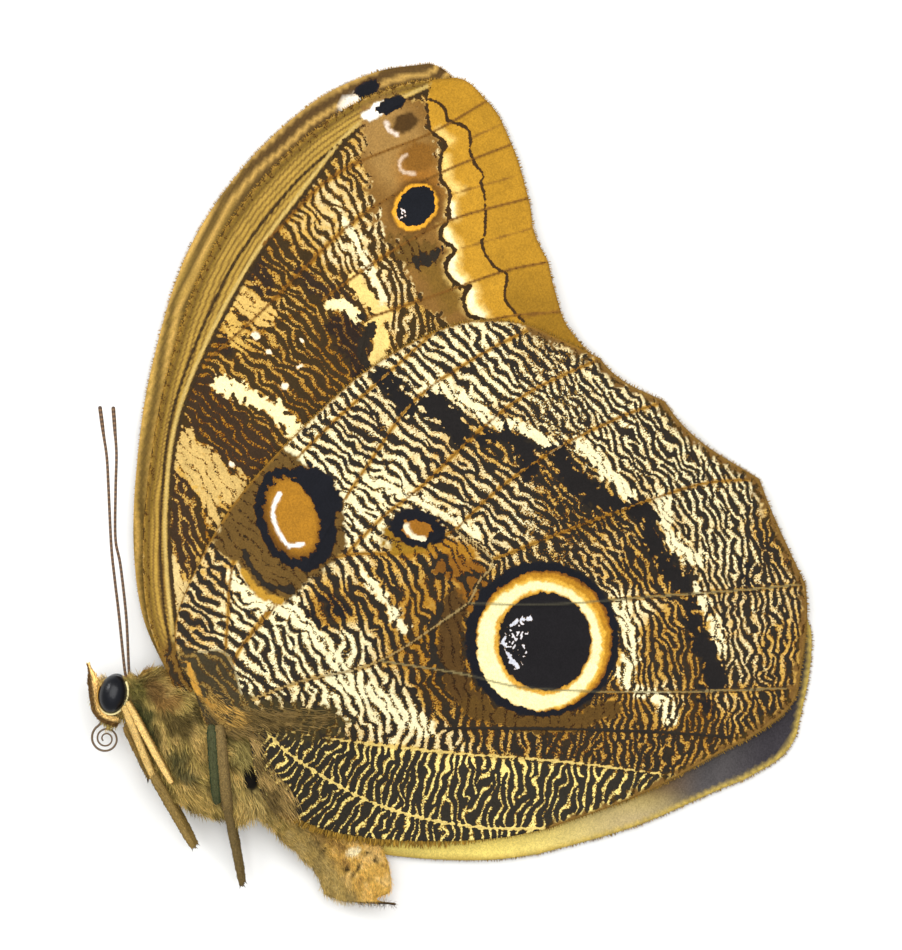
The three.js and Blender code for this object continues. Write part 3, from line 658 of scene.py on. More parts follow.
SMALL_SPOT = [
    ((25, 19), (3.6, 2.4, 12), 0.4, 0.25, "#96701C", None, 1),
    ((25.4, 19.4), (3.4, 2.15, -8), 0.2, 0.2, BROWN, INK, -0.3),
    ((25.4, 19.3), (1.85, 1.15, -8), 0.2, 0.15, "#9C661C", None, 1.25),
    ([(24.1, 19.7), (24.6, 18.6), (26.3, 18.1)], 0.22, 0.2, 0.12, "#F6EAC4", None, 1.3),
]
GREAT_SPOT = [
    ((40.4, 6), (9.15, 9.3, 0), 0.2, 0.12, BROWN, INK, -0.3),
    ((40.7, 5.9), (8.2, 8.45, 0), 0.2, 0.12, "#7A4A14", None, 1.3),
    ((40.6, 5.8), (7.95, 8.2, 0), 0.2, 0.12, "#B8801F", None, 1.3),
    ((40.3, 5.5), (7.65, 7.9, 0), 0.2, 0.12, "#E4B040", None, 1.3),
    ((40.1, 5.3), (7.35, 7.6, 0), 0.2, 0.12, "#FFF3B4", None, 1.3),
    ((40.6, 5.7), (5.9, 6.2, 0), 0.2, 0.12, "#DDA63C", None, 1.3),
    ((40.8, 5.8), (5.55, 5.85, 0), 0.2, 0.12, BROWN, "#1B191B", -0.3),
]


def paint_glint(art, veins):
    """The snowy crescent in the great eyespot's pupil, and the veins that cross it."""
    flecks = smooth(0.35, 0.6, art.noise(31, 0.13) * 0.5 + 0.1)
    patch = fade(0.6, 1.05, art.reach((37.2, 6), (1.9, 4.4)))
    inside = fade(0.8, 0.95, art.reach((40.8, 5.6), (5.55, 6.1)))
    art.put(flecks * patch * inside, "#EDEBF0", None, 1.3)
    art.marks([([(39.1, 8.8), (37.8, 8.4), (36.6, 7.7)], 0.13, 0.2, 0.2, "#DADCE6", None, 1.25),
               ([(36, 6.8), (35.8, 5.5), (36.4, 4.1), (37.6, 2.6)], 0.13, 0.2, 0.2, "#DADCE6", None,
                1.25)])
    for name in ("cubitus_1", "cubitus_2"):
        art.put(0.8 * fade(0.04, 0.2, art.gap(veins[name])), "#6E6644", "#4A4638")


# %% Border and root of the hindwing
BORDER_EARLY = 40
ROOT_MARKS = [
    ([(-1.2, 4.7), (2.8, 4.6), (4.6, -0.2)], 0.07, 0.1, 0.03, "#8A8060", None, 1.3),
    ([(-1.8, 3.4), (-0.6, 0.2), (1.1, -1.7)], 0.3, 0.2, 0.2, "#C08E38", None, 1.3),
    ([(4.9, -2.6), (10.2, -3.1), (15, -4.1)], 1.5, 0.9, 0.9, "#86703C", "#40371F", 0.24),
]


def paint_hind_edges(art):
    """A plain olive-brown border along the outer edge and a dark hairy base."""
    first, last = (len(spline(HINDWING[side], EDGE_STEP)) for side in ("leading", "trailing"))
    border = HINDWING["outline"][first - BORDER_EARLY : -last][::2]
    gap, along = line_distance(art.x, art.y, border)
    width = 0.42 * fade(0.72, 0.98, along) + 0.28
    art.put(fade(width - 0.5, width + 0.5, gap + 0.45 * art.rag), "#745426", "#42320F", 0.78)
    art.put(fade(0.1, 0.4, gap), "#80602A", None, 1.1)
    art.put(0.9 * fade(0.1, 0.3, art.gap(HINDWING["front"])), "#8C6420", None, 1.1)
    art.put(smooth(-0.3, 0.4, art.depth(ROOT_FIELD) + 0.3 * art.rag), "#8E733A", "#3E3522", 0.26)
    art.marks(ROOT_MARKS)


# %% [markdown]
# ## Markings of the forewing
#
# Only the part in front of the hindwing shows. Its front edge is tan with fine dark lines, the
# middle has dark and cream bars with ripples, and the outer field is golden tan with two wavy dark
# lines. One small eyespot and two dim ones lie in a smooth brown zone near the tip.

# %% Ripple notes of the forewing: x, y, direction of the crests, share of pale, warmth
FORE_NOTES = [
    (7.8, 52.8, -50, 0.3, 0.8), (11.4, 56.4, -55, 0.56, 0.3), (15, 60, -61, 0.62, 0.1),
    (17.4, 62.4, -65, 0.46, 0.3), (11.4, 50.4, -48, 0.4, 0.5), (16.2, 52.8, -62, 0.6, 0),
    (19.8, 55.2, -67, 0.5, 0), (23.4, 52.8, -70, 0.34, 0.2), (21, 49.2, -66, 0.5, 0.1),
    (25.8, 49.2, -76, 0.4, 0.1), (23.4, 45.6, -80, 0.45, 0.05), (27, 45.6, -86, 0.35, 0.3),
    (5.4, 45.6, -35, 0.5, 0.5), (9, 44.4, -40, 0.34, 0.3), (4.2, 42, -36, 0.5, 0.6),
    (11.4, 40.8, -42, 0.28, 0.6), (6.6, 38.4, -40, 0.36, 0.5), (15, 40.8, -46, 0.25, 1),
    (18, 41.4, -50, 0.22, 1), (16.2, 48, -57, 0.26, 0.3), (10.2, 34.8, -42, 0.3, 0.9),
    (13.8, 32.4, -42, 0.24, 0.9), (11.4, 37.2, -42, 0.38, 0.7), (3, 31.2, -40, 0.15, 0.7),
    (0.6, 32.4, -50, 0.12, 0.3), (6.6, 30, -36, 0.3, 0.7), (-0.6, 26.4, -60, 0.85, 0.4),
    (-3, 20.4, -70, 0.25, 0.4), (-3, 13.2, -70, 0.75, 0.3), (5.4, 57.6, -50, 0.35, 0.6),
    (13.8, 63, -55, 0.4, 0.5), (22.2, 39.6, -60, 0.3, 0.3),
]

# %% Bars and dots between the front edge and the end of the cell
FORE_BARS = [
    ([(0.1, 35.3), (2, 31.4), (5.4, 28.6)], 2.6, 0.5, 0.5, OCHRE, "#3A2A1A", 0.06),
    ([(5.4, 51.6), (6.8, 48.7)], 1.3, 0.3, 0.3, None, "#33261A", 0.06),
    ([(2.3, 41.4), (3.2, 42.2)], 1, 0.3, 0.3, None, "#33261A", 0.06),
    ([(16.4, 43.7), (18.4, 40.6), (19.1, 38.2)], 1.5, 0.3, 0.5, "#8A6428", "#2C2018", 0.14),
    ([(13.8, 48.2), (16.9, 46.8)], 0.8, 0.3, 0.3, None, "#33261A", 0.06),
    ([(11.4, 50.2), (13.3, 48)], 0.7, 0.3, 0.3, None, "#33261A", 0.06),
    ([(-3.7, 24.5), (-2.5, 20.4), (-2.5, 16.1), (-1.1, 14.2)], 1.6, 0.4, 0.4, "#C8A050", "#3A2A1A",
     0.2),
    ([(-2.6, 28.8), (0, 26.4), (2.8, 24.2)], 2, 0.5, 0.6, "#D2B068", None, 0.9),
    ([(0.1, 25.2), (1.3, 20.4)], 0.8, 0.4, 0.4, "#D2B068", None, 0.9),
    ([(-4.4, 15.4), (-3.2, 12.6), (-1.8, 10.1)], 1, 0.4, 0.3, "#DCC080", None, 0.95),
    ([(3.7, 47.8), (6.8, 44.9)], 1.5, 0.6, 0.5, "#DDB765", None, 0.85),
    ([(2.5, 44.6), (4.2, 42)], 0.9, 0.4, 0.4, "#D8B058", None, 0.8),
    ([(1.8, 36.7), (5.4, 35.2), (8.5, 33.4), (11.3, 30.7)], 0.85, 0.25, 0.45, "#FFF0B4", None, 1.1),
    ([(15, 46.3), (16.8, 46), (18.2, 44.9)], 0.62, 0.22, 0.2, "#FFF0B4", None, 1.1),
    ([(17.9, 49.2), (19.8, 46.8), (21.7, 44.9)], 0.75, 0.3, 0.25, "#F2D07C", None, 1.1),
    ([(20.2, 44.2), (21.1, 41.8), (20.6, 39.6)], 0.9, 0.3, 0.25, "#F2D07C", None, 1.1),
    ([(18.4, 44.9), (20, 44.6)], 0.3, 0.2, 0.2, None, SOOT, -0.2),
    ([(20.3, 44.2), (18.8, 40.8), (20, 37.9)], 0.45, 0.25, 0.2, None, SOOT, -0.2),
    ([(16.8, 56.2), (19.3, 51.6), (21.5, 46.8)], 0.45, 0.25, 0.25, CREAM, None, 0.95),
]
DOTS = [(6, 42.5, 0.45), (11.5, 42, 0.3), (11.4, 38.8, 0.3), (3.2, 27.1, 0.28), (9.6, 36.5, 0.42),
        (7.6, 40.6, 0.28)]
FORE_BARS += [((x, y), (size, size * 0.8, 0), 0.15, 0.1, "#F8EDD0", None, 1.25) for x, y, size in DOTS]

# %% Lines of the forewing's outer field
INNER_LINE = [
    (26.6, 70.3), (27, 67.4), (27.5, 66.8), (29, 65.6), (28.4, 64.6), (28.2, 62.9), (28.3, 61.4),
    (29.4, 59.8), (29.2, 58.3), (29.3, 56.5), (28.4, 55.4), (28.3, 54.2), (30, 52.9), (29.2, 51.8),
    (28.9, 50.2), (30.5, 48.5), (31.8, 48.5), (31.1, 47.3), (31.1, 46.1), (31.8, 44.9), (33.5, 44.4),
]
OUTER_LINE = [
    (27, 71), (28.2, 70.4), (28.9, 69.6), (29, 68.5), (30, 68.2), (31.7, 67.2), (31.8, 64.8),
    (32.4, 63.2), (33.4, 61.9), (33.1, 61), (33.6, 58.8), (33.6, 55), (33.2, 54), (33.7, 52.2),
    (35, 50.6), (36.2, 50), (36, 48), (36, 46.8), (37.1, 45.4), (38.3, 44.2),
]
ZONE_TIP = [(19.3, 69.8), (23.4, 70.9)]
ZONE_BACK = [(31.8, 43.2), (28.2, 44.2), (26.3, 46.8), (23.9, 51.4), (21.7, 54.2), (20, 58.8),
             (19.1, 63.6)]
ZONE_MARKS = [
    ((22.8, 65.4), (4.6, 3, -70), 2.2, 0.1, "#A07A40", None, 1.2),
    ((25.8, 61.2), (3.2, 2.2, -60), 1.6, 0.1, "#A06A24"),
    ([(26.4, 51.4), (29.6, 46.8)], 1.4, 0.9, 0.4, "#7A5A20"),
    ((24.7, 52.8), (2.4, 1.3, -20), 0.8, 0.5, "#6A4E1E", "#33240F", 0.8),
]
SCALLOPS = [
    ([(28, 67.2), (29.4, 66)], 0.5), ([(28.9, 63.8), (28.9, 61.9)], 0.7),
    ([(29.4, 60.7), (30.4, 60)], 0.6), ([(29.6, 58.3), (29.8, 56.9)], 0.8),
    ([(28.9, 55.2), (29.3, 54), (30.1, 53.3)], 0.9), ([(29.8, 51.8), (29.6, 50.2), (30.8, 49)], 1.1),
    ([(32, 47.8), (31.9, 46.1), (33.2, 44.9)], 1.2),
]
FOLDS = [[(32, 66.4), (35.6, 68)], [(29.4, 59.5), (37.4, 61.8)], [(30.7, 53), (34.1, 54), (39, 55.4)],
         [(37.8, 44.6), (43.3, 45.8)]]
FIELD_MARKS = [(line, half * 0.8, 0.7, 0.15, "#F4D078") for line, half in SCALLOPS]
FIELD_MARKS += [(line, half * 0.4, 0.3, 0.15, "#FFF2C4") for line, half in SCALLOPS[3:]]
FIELD_MARKS += [(line, half, 0.1, 0.05, None, "#3A2812", -0.5)
                for line, half in ((INNER_LINE, 0.18), (OUTER_LINE, 0.17))]
FIELD_MARKS += [(line, 0.25, 0.12, 0.06, None, "#33240F", -0.5)
                for line in (INNER_LINE[10:16], INNER_LINE[16:])]


def paint_front_edge(art, veins):
    """Tan scales between the front edge and the first long veins, with fine dark lines along them."""
    gap = art.gap(veins["radius"])
    strip = within(art.x, art.y, np.vstack([FOREWING["front"], veins["radius"][::-1]]))
    inside = strip * smooth(0, 0.25, gap)
    out = art.gap(FOREWING["front"])
    art.put(inside, "#B4903E", "#6A4E1C", 1.2)
    art.put(inside * fade(0.5, 1.3, out) * 0.85, "#7E6222", None, 0.9)
    lines = np.cos(2 * np.pi * out / 0.62 + 0.5 * art.noise(44, 2.5))
    art.put(inside * smooth(0.1, 0.8, lines) * 0.9, "#6C5024")
    for name, half in (("subcosta", 0.12), ("radius", 0.16)):
        art.put(0.9 * fade(half - 0.05, half + 0.14, art.gap(veins[name])), "#4E3A1A", UMBER, 0.1)
    art.put(fade(0.1, 0.3, np.abs(gap - 0.5)) * strip * 0.4, "#D2B468", None, 1.1)


def paint_outer_field(art):
    """The smooth brown zone, the golden outer field and their wavy lines."""
    inner, outer = spline(INNER_LINE, 0.3), spline(OUTER_LINE, 0.3)
    zone = art.depth(np.vstack([ZONE_TIP, inner, ZONE_BACK]))
    art.put(smooth(-0.2, 0.25, zone + 0.6 * art.rag), "#86602A", "#4A3012", 1.1)
    art.marks(ZONE_MARKS)
    field = within(art.x, art.y, np.vstack([inner, [(37.8, 42), (59.4, 39.6), (59.4, 78), (28.2, 78)]]))
    art.put(field * smooth(0, 0.2, art.gap(inner)), "#BE8C26", BROWN, 1.25)
    far = within(art.x, art.y,
                 np.vstack([outer, [(39, 41.4), (59.4, 39.6), (59.4, 79.2), (25.8, 79.2)]]))
    art.put(far * 0.6, "#AC7E20")
    art.put(far * 0.65 * smooth(54, 44, art.y), "#7E5C16")
    art.marks(FIELD_MARKS)


# %% Eyespots of the forewing, from its tip down
FORE_SPOTS = [
    ([(19.6, 69), (20.6, 69.7), (21.7, 70.3)], 0.62, 0.2, 0.15, "#FFFDF2", None, 1.3),
    ((22.2, 70.3), (1.9, 0.85, 24), 0.2, 0.12, None, INK, -0.3),
    ((24, 68.2), (1.3, 0.9, 20), 0.7, 0.2, "#4C3414", None, 1.1),
    ([(21.7, 68.2), (22, 67.3), (23, 66.7)], 0.18, 0.22, 0.1, "#E2CFBC", None, 1.25),
    ((25.6, 64.1), (1.7, 1.5, 20), 1, 0.15, "#84581C", None, 1.2),
    ([(24.1, 64.4), (23.3, 63.4), (23.6, 62.3), (25, 62)], 0.12, 0.18, 0.1, "#D2B698", None, 1.25),
    ((25.3, 58.1), (3.4, 3, 55), 0.7, 0.1, "#5C3A10"),
    ((25.2, 58), (2.95, 2.45, 52), 0.18, 0.08, "#E8A62E", None, 1.3),
    ((25.3, 58.1), (2.6, 2.1, 52), 0.15, 0.08, None, "#16181E", -0.3),
]


def paint_forewing(places):
    """The underside of a forewing."""
    art = Paint(places, CREAM, "#3E2E14", 0.5)
    veins = FOREWING["lines"]
    angle, art.share, warmth = art.follow(FORE_NOTES)
    art.share -= 0.08
    angle = angle + 6 * art.noise(41, 1.6)
    wave = ripples(42, 1.08, 18, 0.3, angle, art.x, art.y) + 0.16 * art.rag
    near_vein = np.min([art.gap(veins[name]) for name in
                        ("media_1", "media_2", "media_3", "radius_5", "cell_front")], axis=0)
    warmth = 0.22 + 0.78 * warmth + 0.6 * fade(0.1, 0.6, near_vein) + 0.1 * art.rag
    art.tint(warmth)
    art.put(smooth(0.4, 0.9, warmth) * 0.6, dark=UMBER)
    art.marks(FORE_BARS)
    paint_front_edge(art, veins)
    paint_outer_field(art)
    for name in ("radius_5", "media_1", "media_2", "media_3", "cubitus_1", "cubitus_2"):
        art.put(0.75 * fade(0.05, 0.22, art.gap(veins[name])), "#7A521C", "#4A3212", 0.9)
    art.marks([(fold, 0.09, 0.1, 0.05, "#8A6020") for fold in FOLDS])
    art.marks(FORE_SPOTS)
    flecks = smooth(0.1, 0.5, art.noise(51, 0.14) * 0.4 + 0.2)
    art.put(flecks * fade(0.4, 1.0, art.reach((23.6, 57.1), (0.75, 1.0))), "#E8EAF0", None, 1.3)
    art.marks([([(25.4, 51.4), (26.8, 52), (28, 52.6)], 0.7, 0.5, 0.4, None, SOOT, -0.05)])
    art.put(0.5 * fade(0.1, 0.4, art.gap(FOREWING["outline"][::3])), "#8A6420")
    root = fade(5.0, 9.0, np.hypot(art.x - 0.4, art.y + 0.6) + 0.6 * art.rag)
    art.put(root, "#7A5A24", "#33291A", 0.45)
    return art.pale, art.dark, art.level(wave) * 1.15


# %% [markdown]
# ## Upper sides
#
# The far wings stick out a little beyond the near ones and show their upper side: olive-brown
# towards the front edge, a spot near the tip, and a tan rear border that turns grey-blue towards
# the hindwing's outer corner.

# %% Upper sides
def paint_hind_upper(places):
    art = Paint(places, "#8A6A3A", "#3A3242", 1.2)
    rear = smooth(-7, -12, art.y)
    art.put(rear, "#F3DC75")
    art.put(rear * smooth(34, 56, art.x), "#B09C74")
    art.put(smooth(52, 61, art.x), "#504C4C")
    art.put(smooth(62, 68, art.x), "#3A363A")
    art.put(fade(0.2, 0.7, art.gap(HINDWING["outline"][::3])), "#C4A852")
    return art.pale, art.dark, art.level(0.4 * art.rag)


def paint_fore_upper(places):
    art = Paint(places, "#A4843C", "#3C2C2C", 1.1)
    gap, along = line_distance(art.x, art.y, FOREWING["front"])
    bands = np.cos(2 * np.pi * (gap - 0.8) / 1.7 + 0.9 * art.noise(45, 4))
    art.put(smooth(-0.4, 0.8, bands) * 0.85, "#5A4620")
    art.put(smooth(0.62, 0.75, along) * fade(0.1, 0.8, gap) * 0.5, "#A07C2C")
    art.put(0.8 * smooth(50, 66, art.y), "#50381E")
    art.put(smooth(0.3, 0.9, -bands) * 0.7, "#DCB05C")
    art.marks([((22.4, 70.6), (1.9, 0.9, 30), 0.3, 0.1, None, INK, -0.5),
               ((20.6, 69.3), (1.3, 0.7, 30), 0.3, 0.1, "#F6EEDC", None, 1.4)])
    return art.pale, art.dark, art.level(0.4 * art.rag)


# %% [markdown]
# ## Laying the four wings
#
# The wings are stacked as on the closed insect: far hindwing, far forewing, near forewing, near
# hindwing. Near the hinge each pair rises to its side of the thorax. Each wing is one closed shell
# whose painted face has the raised veins; a low swell between them keeps it from looking flat.

# %% Levels of the wings
WINGS = {
    "hindwing_right": {"plan": HINDWING, "layer": 0.45, "side": -1, "turn": -4.2, "slide": (0, -0.4)},
    "forewing_right": {"plan": FOREWING, "layer": 1.45, "side": -1, "turn": 2.1, "slide": (-0.6, 0.8)},
    "forewing_left": {"plan": FOREWING, "layer": 2.25, "side": 1, "turn": 0, "slide": (0, 0)},
    "hindwing_left": {"plan": HINDWING, "layer": 3.25, "side": 1, "turn": 0, "slide": (0, 0)},
}
ROOT_LIFT = {1: 5.9, -1: 1.6}
LIFT_REACH = (5, 60)
TIP_DROP, TIP_FROM, TIP_TO = 1, 57, 76
TAIL_DROP, TAIL_FROM, TAIL_TO, TAILWARDS = 1.6, 4, 24, (0.6, -0.8)
BELLY_AT, BELLY_RISE, BELLY_REACH = (8.4, -12), 2.4, 10
HALF_THICK = 0.09
VEIN_RISE = 0.13
VEIN_WIDTH = 0.17
SWELL = 0.07


def wing_level(name, x, y):
    """Height of a wing's middle surface."""
    wing = WINGS[name]
    away = np.hypot(x - HINGE[0], y - HINGE[1])
    spent = np.clip((away - LIFT_REACH[0]) / (LIFT_REACH[1] - LIFT_REACH[0]), 0, 1)
    level = wing["layer"] + ROOT_LIFT[wing["side"]] * (1 - spent) ** 3
    if wing["plan"] is FOREWING:
        tip = np.array(FOREWING["margin"][0])
        tip = tip / np.hypot(*tip)
        level -= TIP_DROP * smooth(TIP_FROM, TIP_TO, x * tip[0] + y * tip[1])
    if name == "hindwing_left":
        level -= TAIL_DROP * smooth(TAIL_FROM, TAIL_TO, x * TAILWARDS[0] + y * TAILWARDS[1])
        near = np.hypot(x - BELLY_AT[0], y - BELLY_AT[1]) / BELLY_REACH
        level += BELLY_RISE * np.exp(-near * near)
    return level


def laid(name, places):
    """Plan places turned and moved to where this wing lies."""
    angle = math.radians(WINGS[name]["turn"])
    c, s = math.cos(angle), math.sin(angle)
    x, y = (places - HINGE).T
    return np.stack([x * c - y * s, x * s + y * c], axis=1) + HINGE + WINGS[name]["slide"]


# %% Painting each plan once
PAINTERS = ((HINDWING, paint_hindwing, paint_hind_upper), (FOREWING, paint_forewing, paint_fore_upper))
for plan, under, upper in PAINTERS:
    plan["under"] = under(plan["fine"][0])
    plan["upper"] = upper(plan["coarse"][0])
    ridges = [line_distance(*plan["fine"][0].T, line)[0] for line in plan["lines"].values()]
    plan["ridge"] = np.exp(-((np.min(ridges, axis=0) / VEIN_WIDTH) ** 2))
    for face in ("fine", "coarse"):
        x, y = plan[face][0].T
        edge, _ = line_distance(x, y, plan["outline"][::4])
        plan[face + "_swell"] = SWELL * blotches(61, 2.4, x, y) * smooth(0, 3, edge)
    print("painted", len(plan["ridge"]), "places; pale wins on",
          round(float((plan["under"][2] > 0).mean()), 2))


# %% Pieces and their paint
def set_colour(mesh, colours, name="tint"):
    layer = mesh.color_attributes.new(name, "FLOAT_COLOR", "POINT")
    full = np.column_stack([colours, np.ones(len(colours))]).astype(np.float32)
    layer.data.foreach_set("color", full.ravel())


def set_values(mesh, name, values):
    """Stores one number, or one for each vertex."""
    layer = mesh.attributes.new(name, "FLOAT", "POINT")
    layer.data.foreach_set("value", np.full(len(mesh.vertices), values, np.float32))


def declare(piece, nodes=()):
    """Attaches a piece to the root body's empty and hides the solids that it replaces."""
    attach(piece, "root")
    if nodes:
        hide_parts(*nodes)
    print(piece.name, "has", len(piece.data.polygons), "faces")


def finish_piece(piece, material, nodes=()):
    piece.data.materials.append(material)
    declare(piece, nodes)


def wing_turns(plan):
    """True where the outline runs anticlockwise."""
    x, y = plan["outline"].T
    return float(np.sum(x * np.roll(y, -1) - y * np.roll(x, -1))) > 0


def build_wing(name):
    """One wing: a fine painted face, a coarse plain face and the rim between them."""
    plan, side = WINGS[name]["plan"], WINGS[name]["side"]
    (fine, fine_faces), (coarse, coarse_faces) = plan["fine"], plan["coarse"]
    fine_xy, coarse_xy = laid(name, fine), laid(name, coarse)
    rise = HALF_THICK + VEIN_RISE * plan["ridge"]
    fine_z = wing_level(name, *fine_xy.T) + plan["fine_swell"] + side * rise
    coarse_z = wing_level(name, *coarse_xy.T) + plan["coarse_swell"] - side * HALF_THICK
    places = np.vstack([np.column_stack([fine_xy, fine_z]), np.column_stack([coarse_xy, coarse_z])])
    outer, inner = ((fine_faces, coarse_faces[:, ::-1]) if side > 0
                    else (fine_faces[:, ::-1], coarse_faces))
    start, rim = len(fine), np.arange(len(plan["outline"]))
    ends = rim, (rim + 1) % len(rim)
    near, far = ends[::-1] if wing_turns(plan) == (side > 0) else ends
    faces = np.vstack([outer, inner + start]).tolist()
    faces += np.column_stack([near, far, far + start, near + start]).tolist()
    piece = piece_from(name + "_scaled", places, faces)
    pale, dark, level = (np.concatenate(both) for both in zip(plan["under"], plan["upper"]))
    set_colour(piece.data, pale, "pale")
    set_colour(piece.data, dark, "dark")
    set_values(piece.data, "level", level)
    return piece


# %% [markdown]
# ## Wing scales
#
# A wing is covered in flat scales about a tenth of a millimetre long, each of one colour and nearly
# matt. The shader divides the wing into grains of about that size, drawn a little coarser so that
# they show. Each grain takes the pale or the dark colour, with rust-brown ones along the edges, and
# has its own brightness and tilt.

# %% Scale material
SCALE_GRAIN = 0.14
CLOUD_SIZE = 1.8
SPECKLE = 0.72
EDGE_TONE = "#98783A"

wing_scales, tree, shader = new_material("butterfly wing scales")
place = add_node(tree, "ShaderNodeTexCoord").outputs["Object"]
cells = add_node(tree, "ShaderNodeTexVoronoi", {"Vector": place, "Scale": 1 / (SCALE_GRAIN * MM)})
grain = add_node(tree, "ShaderNodeSeparateColor", {"Color": cells.outputs["Color"]}).outputs
patchy = add_node(tree, "ShaderNodeTexNoise",
                  {"Vector": place, "Scale": 1 / (CLOUD_SIZE * MM), "Detail": 2})
level, pale, dark = (add_node(tree, "ShaderNodeAttribute", attribute_name=name).outputs[kind]
                     for name, kind in (("level", "Fac"), ("pale", "Color"), ("dark", "Color")))
spread = add_node(tree, "ShaderNodeMapRange",
                  {"Value": grain["Red"], "To Min": -SPECKLE, "To Max": SPECKLE})
broken = add_node(tree, "ShaderNodeMath", {0: level, 1: spread.outputs[0]}, operation="ADD")
rusty = add_node(tree, "ShaderNodeMix", {0: 1, 6: linear(EDGE_TONE) + [1], 7: pale},
                 data_type="RGBA", blend_type="MULTIPLY")
chosen = dark
for above, low, high in ((rusty.outputs[2], -0.42, -0.22), (pale, -0.05, 0.2)):
    wins = add_node(tree, "ShaderNodeMapRange",
                    {"Value": broken.outputs[0], "From Min": low, "From Max": high},
                    interpolation_type="SMOOTHSTEP")
    chosen = add_node(tree, "ShaderNodeMix", {0: wins.outputs[0], 6: chosen, 7: above},
                      data_type="RGBA").outputs[2]
glow = add_node(tree, "ShaderNodeMapRange", {"Value": grain["Green"], "To Min": 0.8, "To Max": 1.12})
cloud = add_node(tree, "ShaderNodeMapRange",
                 {"Value": patchy.outputs["Fac"], "From Min": 0.3, "From Max": 0.7,
                                              "To Min": 0.92, "To Max": 1.06})
both = add_node(tree, "ShaderNodeMath", {0: glow.outputs[0], 1: cloud.outputs[0]}, operation="MULTIPLY")
tone = add_node(tree, "ShaderNodeHueSaturation", {"Color": chosen, "Value": both.outputs[0]})
bump = add_node(tree, "ShaderNodeBump",
                {"Height": grain["Blue"], "Strength": 0.25, "Distance": 0.00002})
feed(tree, shader,
     {"Base Color": tone.outputs["Color"], "Normal": bump.outputs["Normal"], "Roughness": 0.7,
                    "Specular IOR Level": 0.1, "Sheen Weight": 0.02})

for name in WINGS:
    finish_piece(build_wing(name), wing_scales, (name,))

# %% [markdown]
# ## Limbs and balls
#
# Legs, feelers, tongue and palps are tubes of oval section. One function builds them all: rings
# along a smooth path, wide in the plan and upright in the other direction, with rounded ends.

# %% Tubes of oval section
END_BENDS = np.radians([60, 30])


def limb(path, half, step, sides, tall=None):
    """Places, faces, and each place's share of the length and angle round the limb. The half width
    and half height are functions of the share, and the second is the first where it isn't given."""
    line = spline(path, step)
    count = len(line)
    share = np.linspace(0, 1, count)
    ahead = np.gradient(line, axis=0)
    ahead /= np.linalg.norm(ahead, axis=1)[:, None]
    across = np.stack([-ahead[:, 1], ahead[:, 0], np.zeros(count)], axis=1)
    across /= np.linalg.norm(across, axis=1)[:, None]
    up = np.cross(ahead, across)
    wide, high = ([size(t) for t in share] for size in (half, tall or half))
    ends = []
    for i, way in ((0, -1), (-1, 1)):
        reach = way * ahead[i] * min(wide[i], high[i])
        ends.append((line[i] + reach,
                     [(line[i] + reach * math.sin(a), i % count, math.cos(a)) for a in END_BENDS]))
    (start, start_rings), (end, end_rings) = ends
    rings = start_rings + [(line[i], i, 1) for i in range(count)] + end_rings[::-1]
    around = np.linspace(0, 2 * math.pi, sides, endpoint=False)
    places, where, turns = [start], [0.0], [0.0]
    for centre, i, size in rings:
        for a in around:
            places.append(centre + size * (across[i] * wide[i] * math.cos(a) + up[i] * high[i] * math.sin(a)))
            where.append(share[i])
            turns.append(a)
    last = len(places)
    faces = []
    for j in range(sides):
        k = (j + 1) % sides
        faces += [(0, 1 + k, 1 + j), (last, last - sides + j, last - sides + k)]
        faces += [(low + j, low + k, low + sides + k, low + sides + j)
                  for low in range(1, last - sides, sides)]
    return np.array(places + [end]), faces, np.array(where + [1.0]), np.array(turns + [0.0])


def joined(parts):
    """Several limbs as one list of places and faces."""
    faces, start = [], 0
    for part in parts:
        faces += [tuple(v + start for v in face) for face in part[1]]
        start += len(part[0])
    return np.vstack([part[0] for part in parts]), faces


def blend(low, high, share):
    """Colours between two hex codes, one for each share."""
    share = np.clip(share, 0, 1)[:, None]
    return np.array(linear(low)) * (1 - share) + np.array(linear(high)) * share


# %% [markdown]
# ## Colour of hair, horn and leg scales
#
# The hairs are matt and each has its own shade, darker at the root. The skin below has the same
# colour but darker. Horn, as on feelers and tongue, is smooth and a little glossy.

# %% Materials of the body
def tinted_material(name, roughness, specular, grain, low, high, strands=False):
    """Base colour from the tint attribute, made lighter and darker by noise or strand by strand."""
    material, tree, shader = new_material(name)
    place = add_node(tree, "ShaderNodeTexCoord").outputs["Object"]
    tint = add_node(tree, "ShaderNodeAttribute", attribute_name="tint").outputs["Color"]
    noise = add_node(tree, "ShaderNodeTexNoise",
                     {"Vector": place, "Scale": 1 / (grain * MM), "Detail": 2})
    light = add_node(tree, "ShaderNodeMapRange",
                     {"Value": noise.outputs["Fac"], "From Min": 0.3, "From Max": 0.7,
                                                  "To Min": low, "To Max": high}).outputs[0]
    if strands:
        for source, least, most in (("strand", 0.75, 1.9), ("tip", 0.7, 1.25)):
            value = add_node(tree, "ShaderNodeAttribute", attribute_name=source).outputs["Fac"]
            scaled = add_node(tree, "ShaderNodeMapRange",
                              {"Value": value, "To Min": least, "To Max": most})
            light = add_node(tree, "ShaderNodeMath", {0: light, 1: scaled.outputs[0]},
                             operation="MULTIPLY").outputs[0]
    else:
        bump = add_node(tree, "ShaderNodeBump",
                        {"Height": noise.outputs["Fac"], "Strength": 0.6, "Distance": 0.00004})
        feed(tree, shader, {"Normal": bump.outputs["Normal"]})
    tone = add_node(tree, "ShaderNodeHueSaturation", {"Color": tint, "Value": light})
    feed(tree, shader,
         {"Base Color": tone.outputs["Color"], "Roughness": roughness, "Specular IOR Level": specular})
    return material


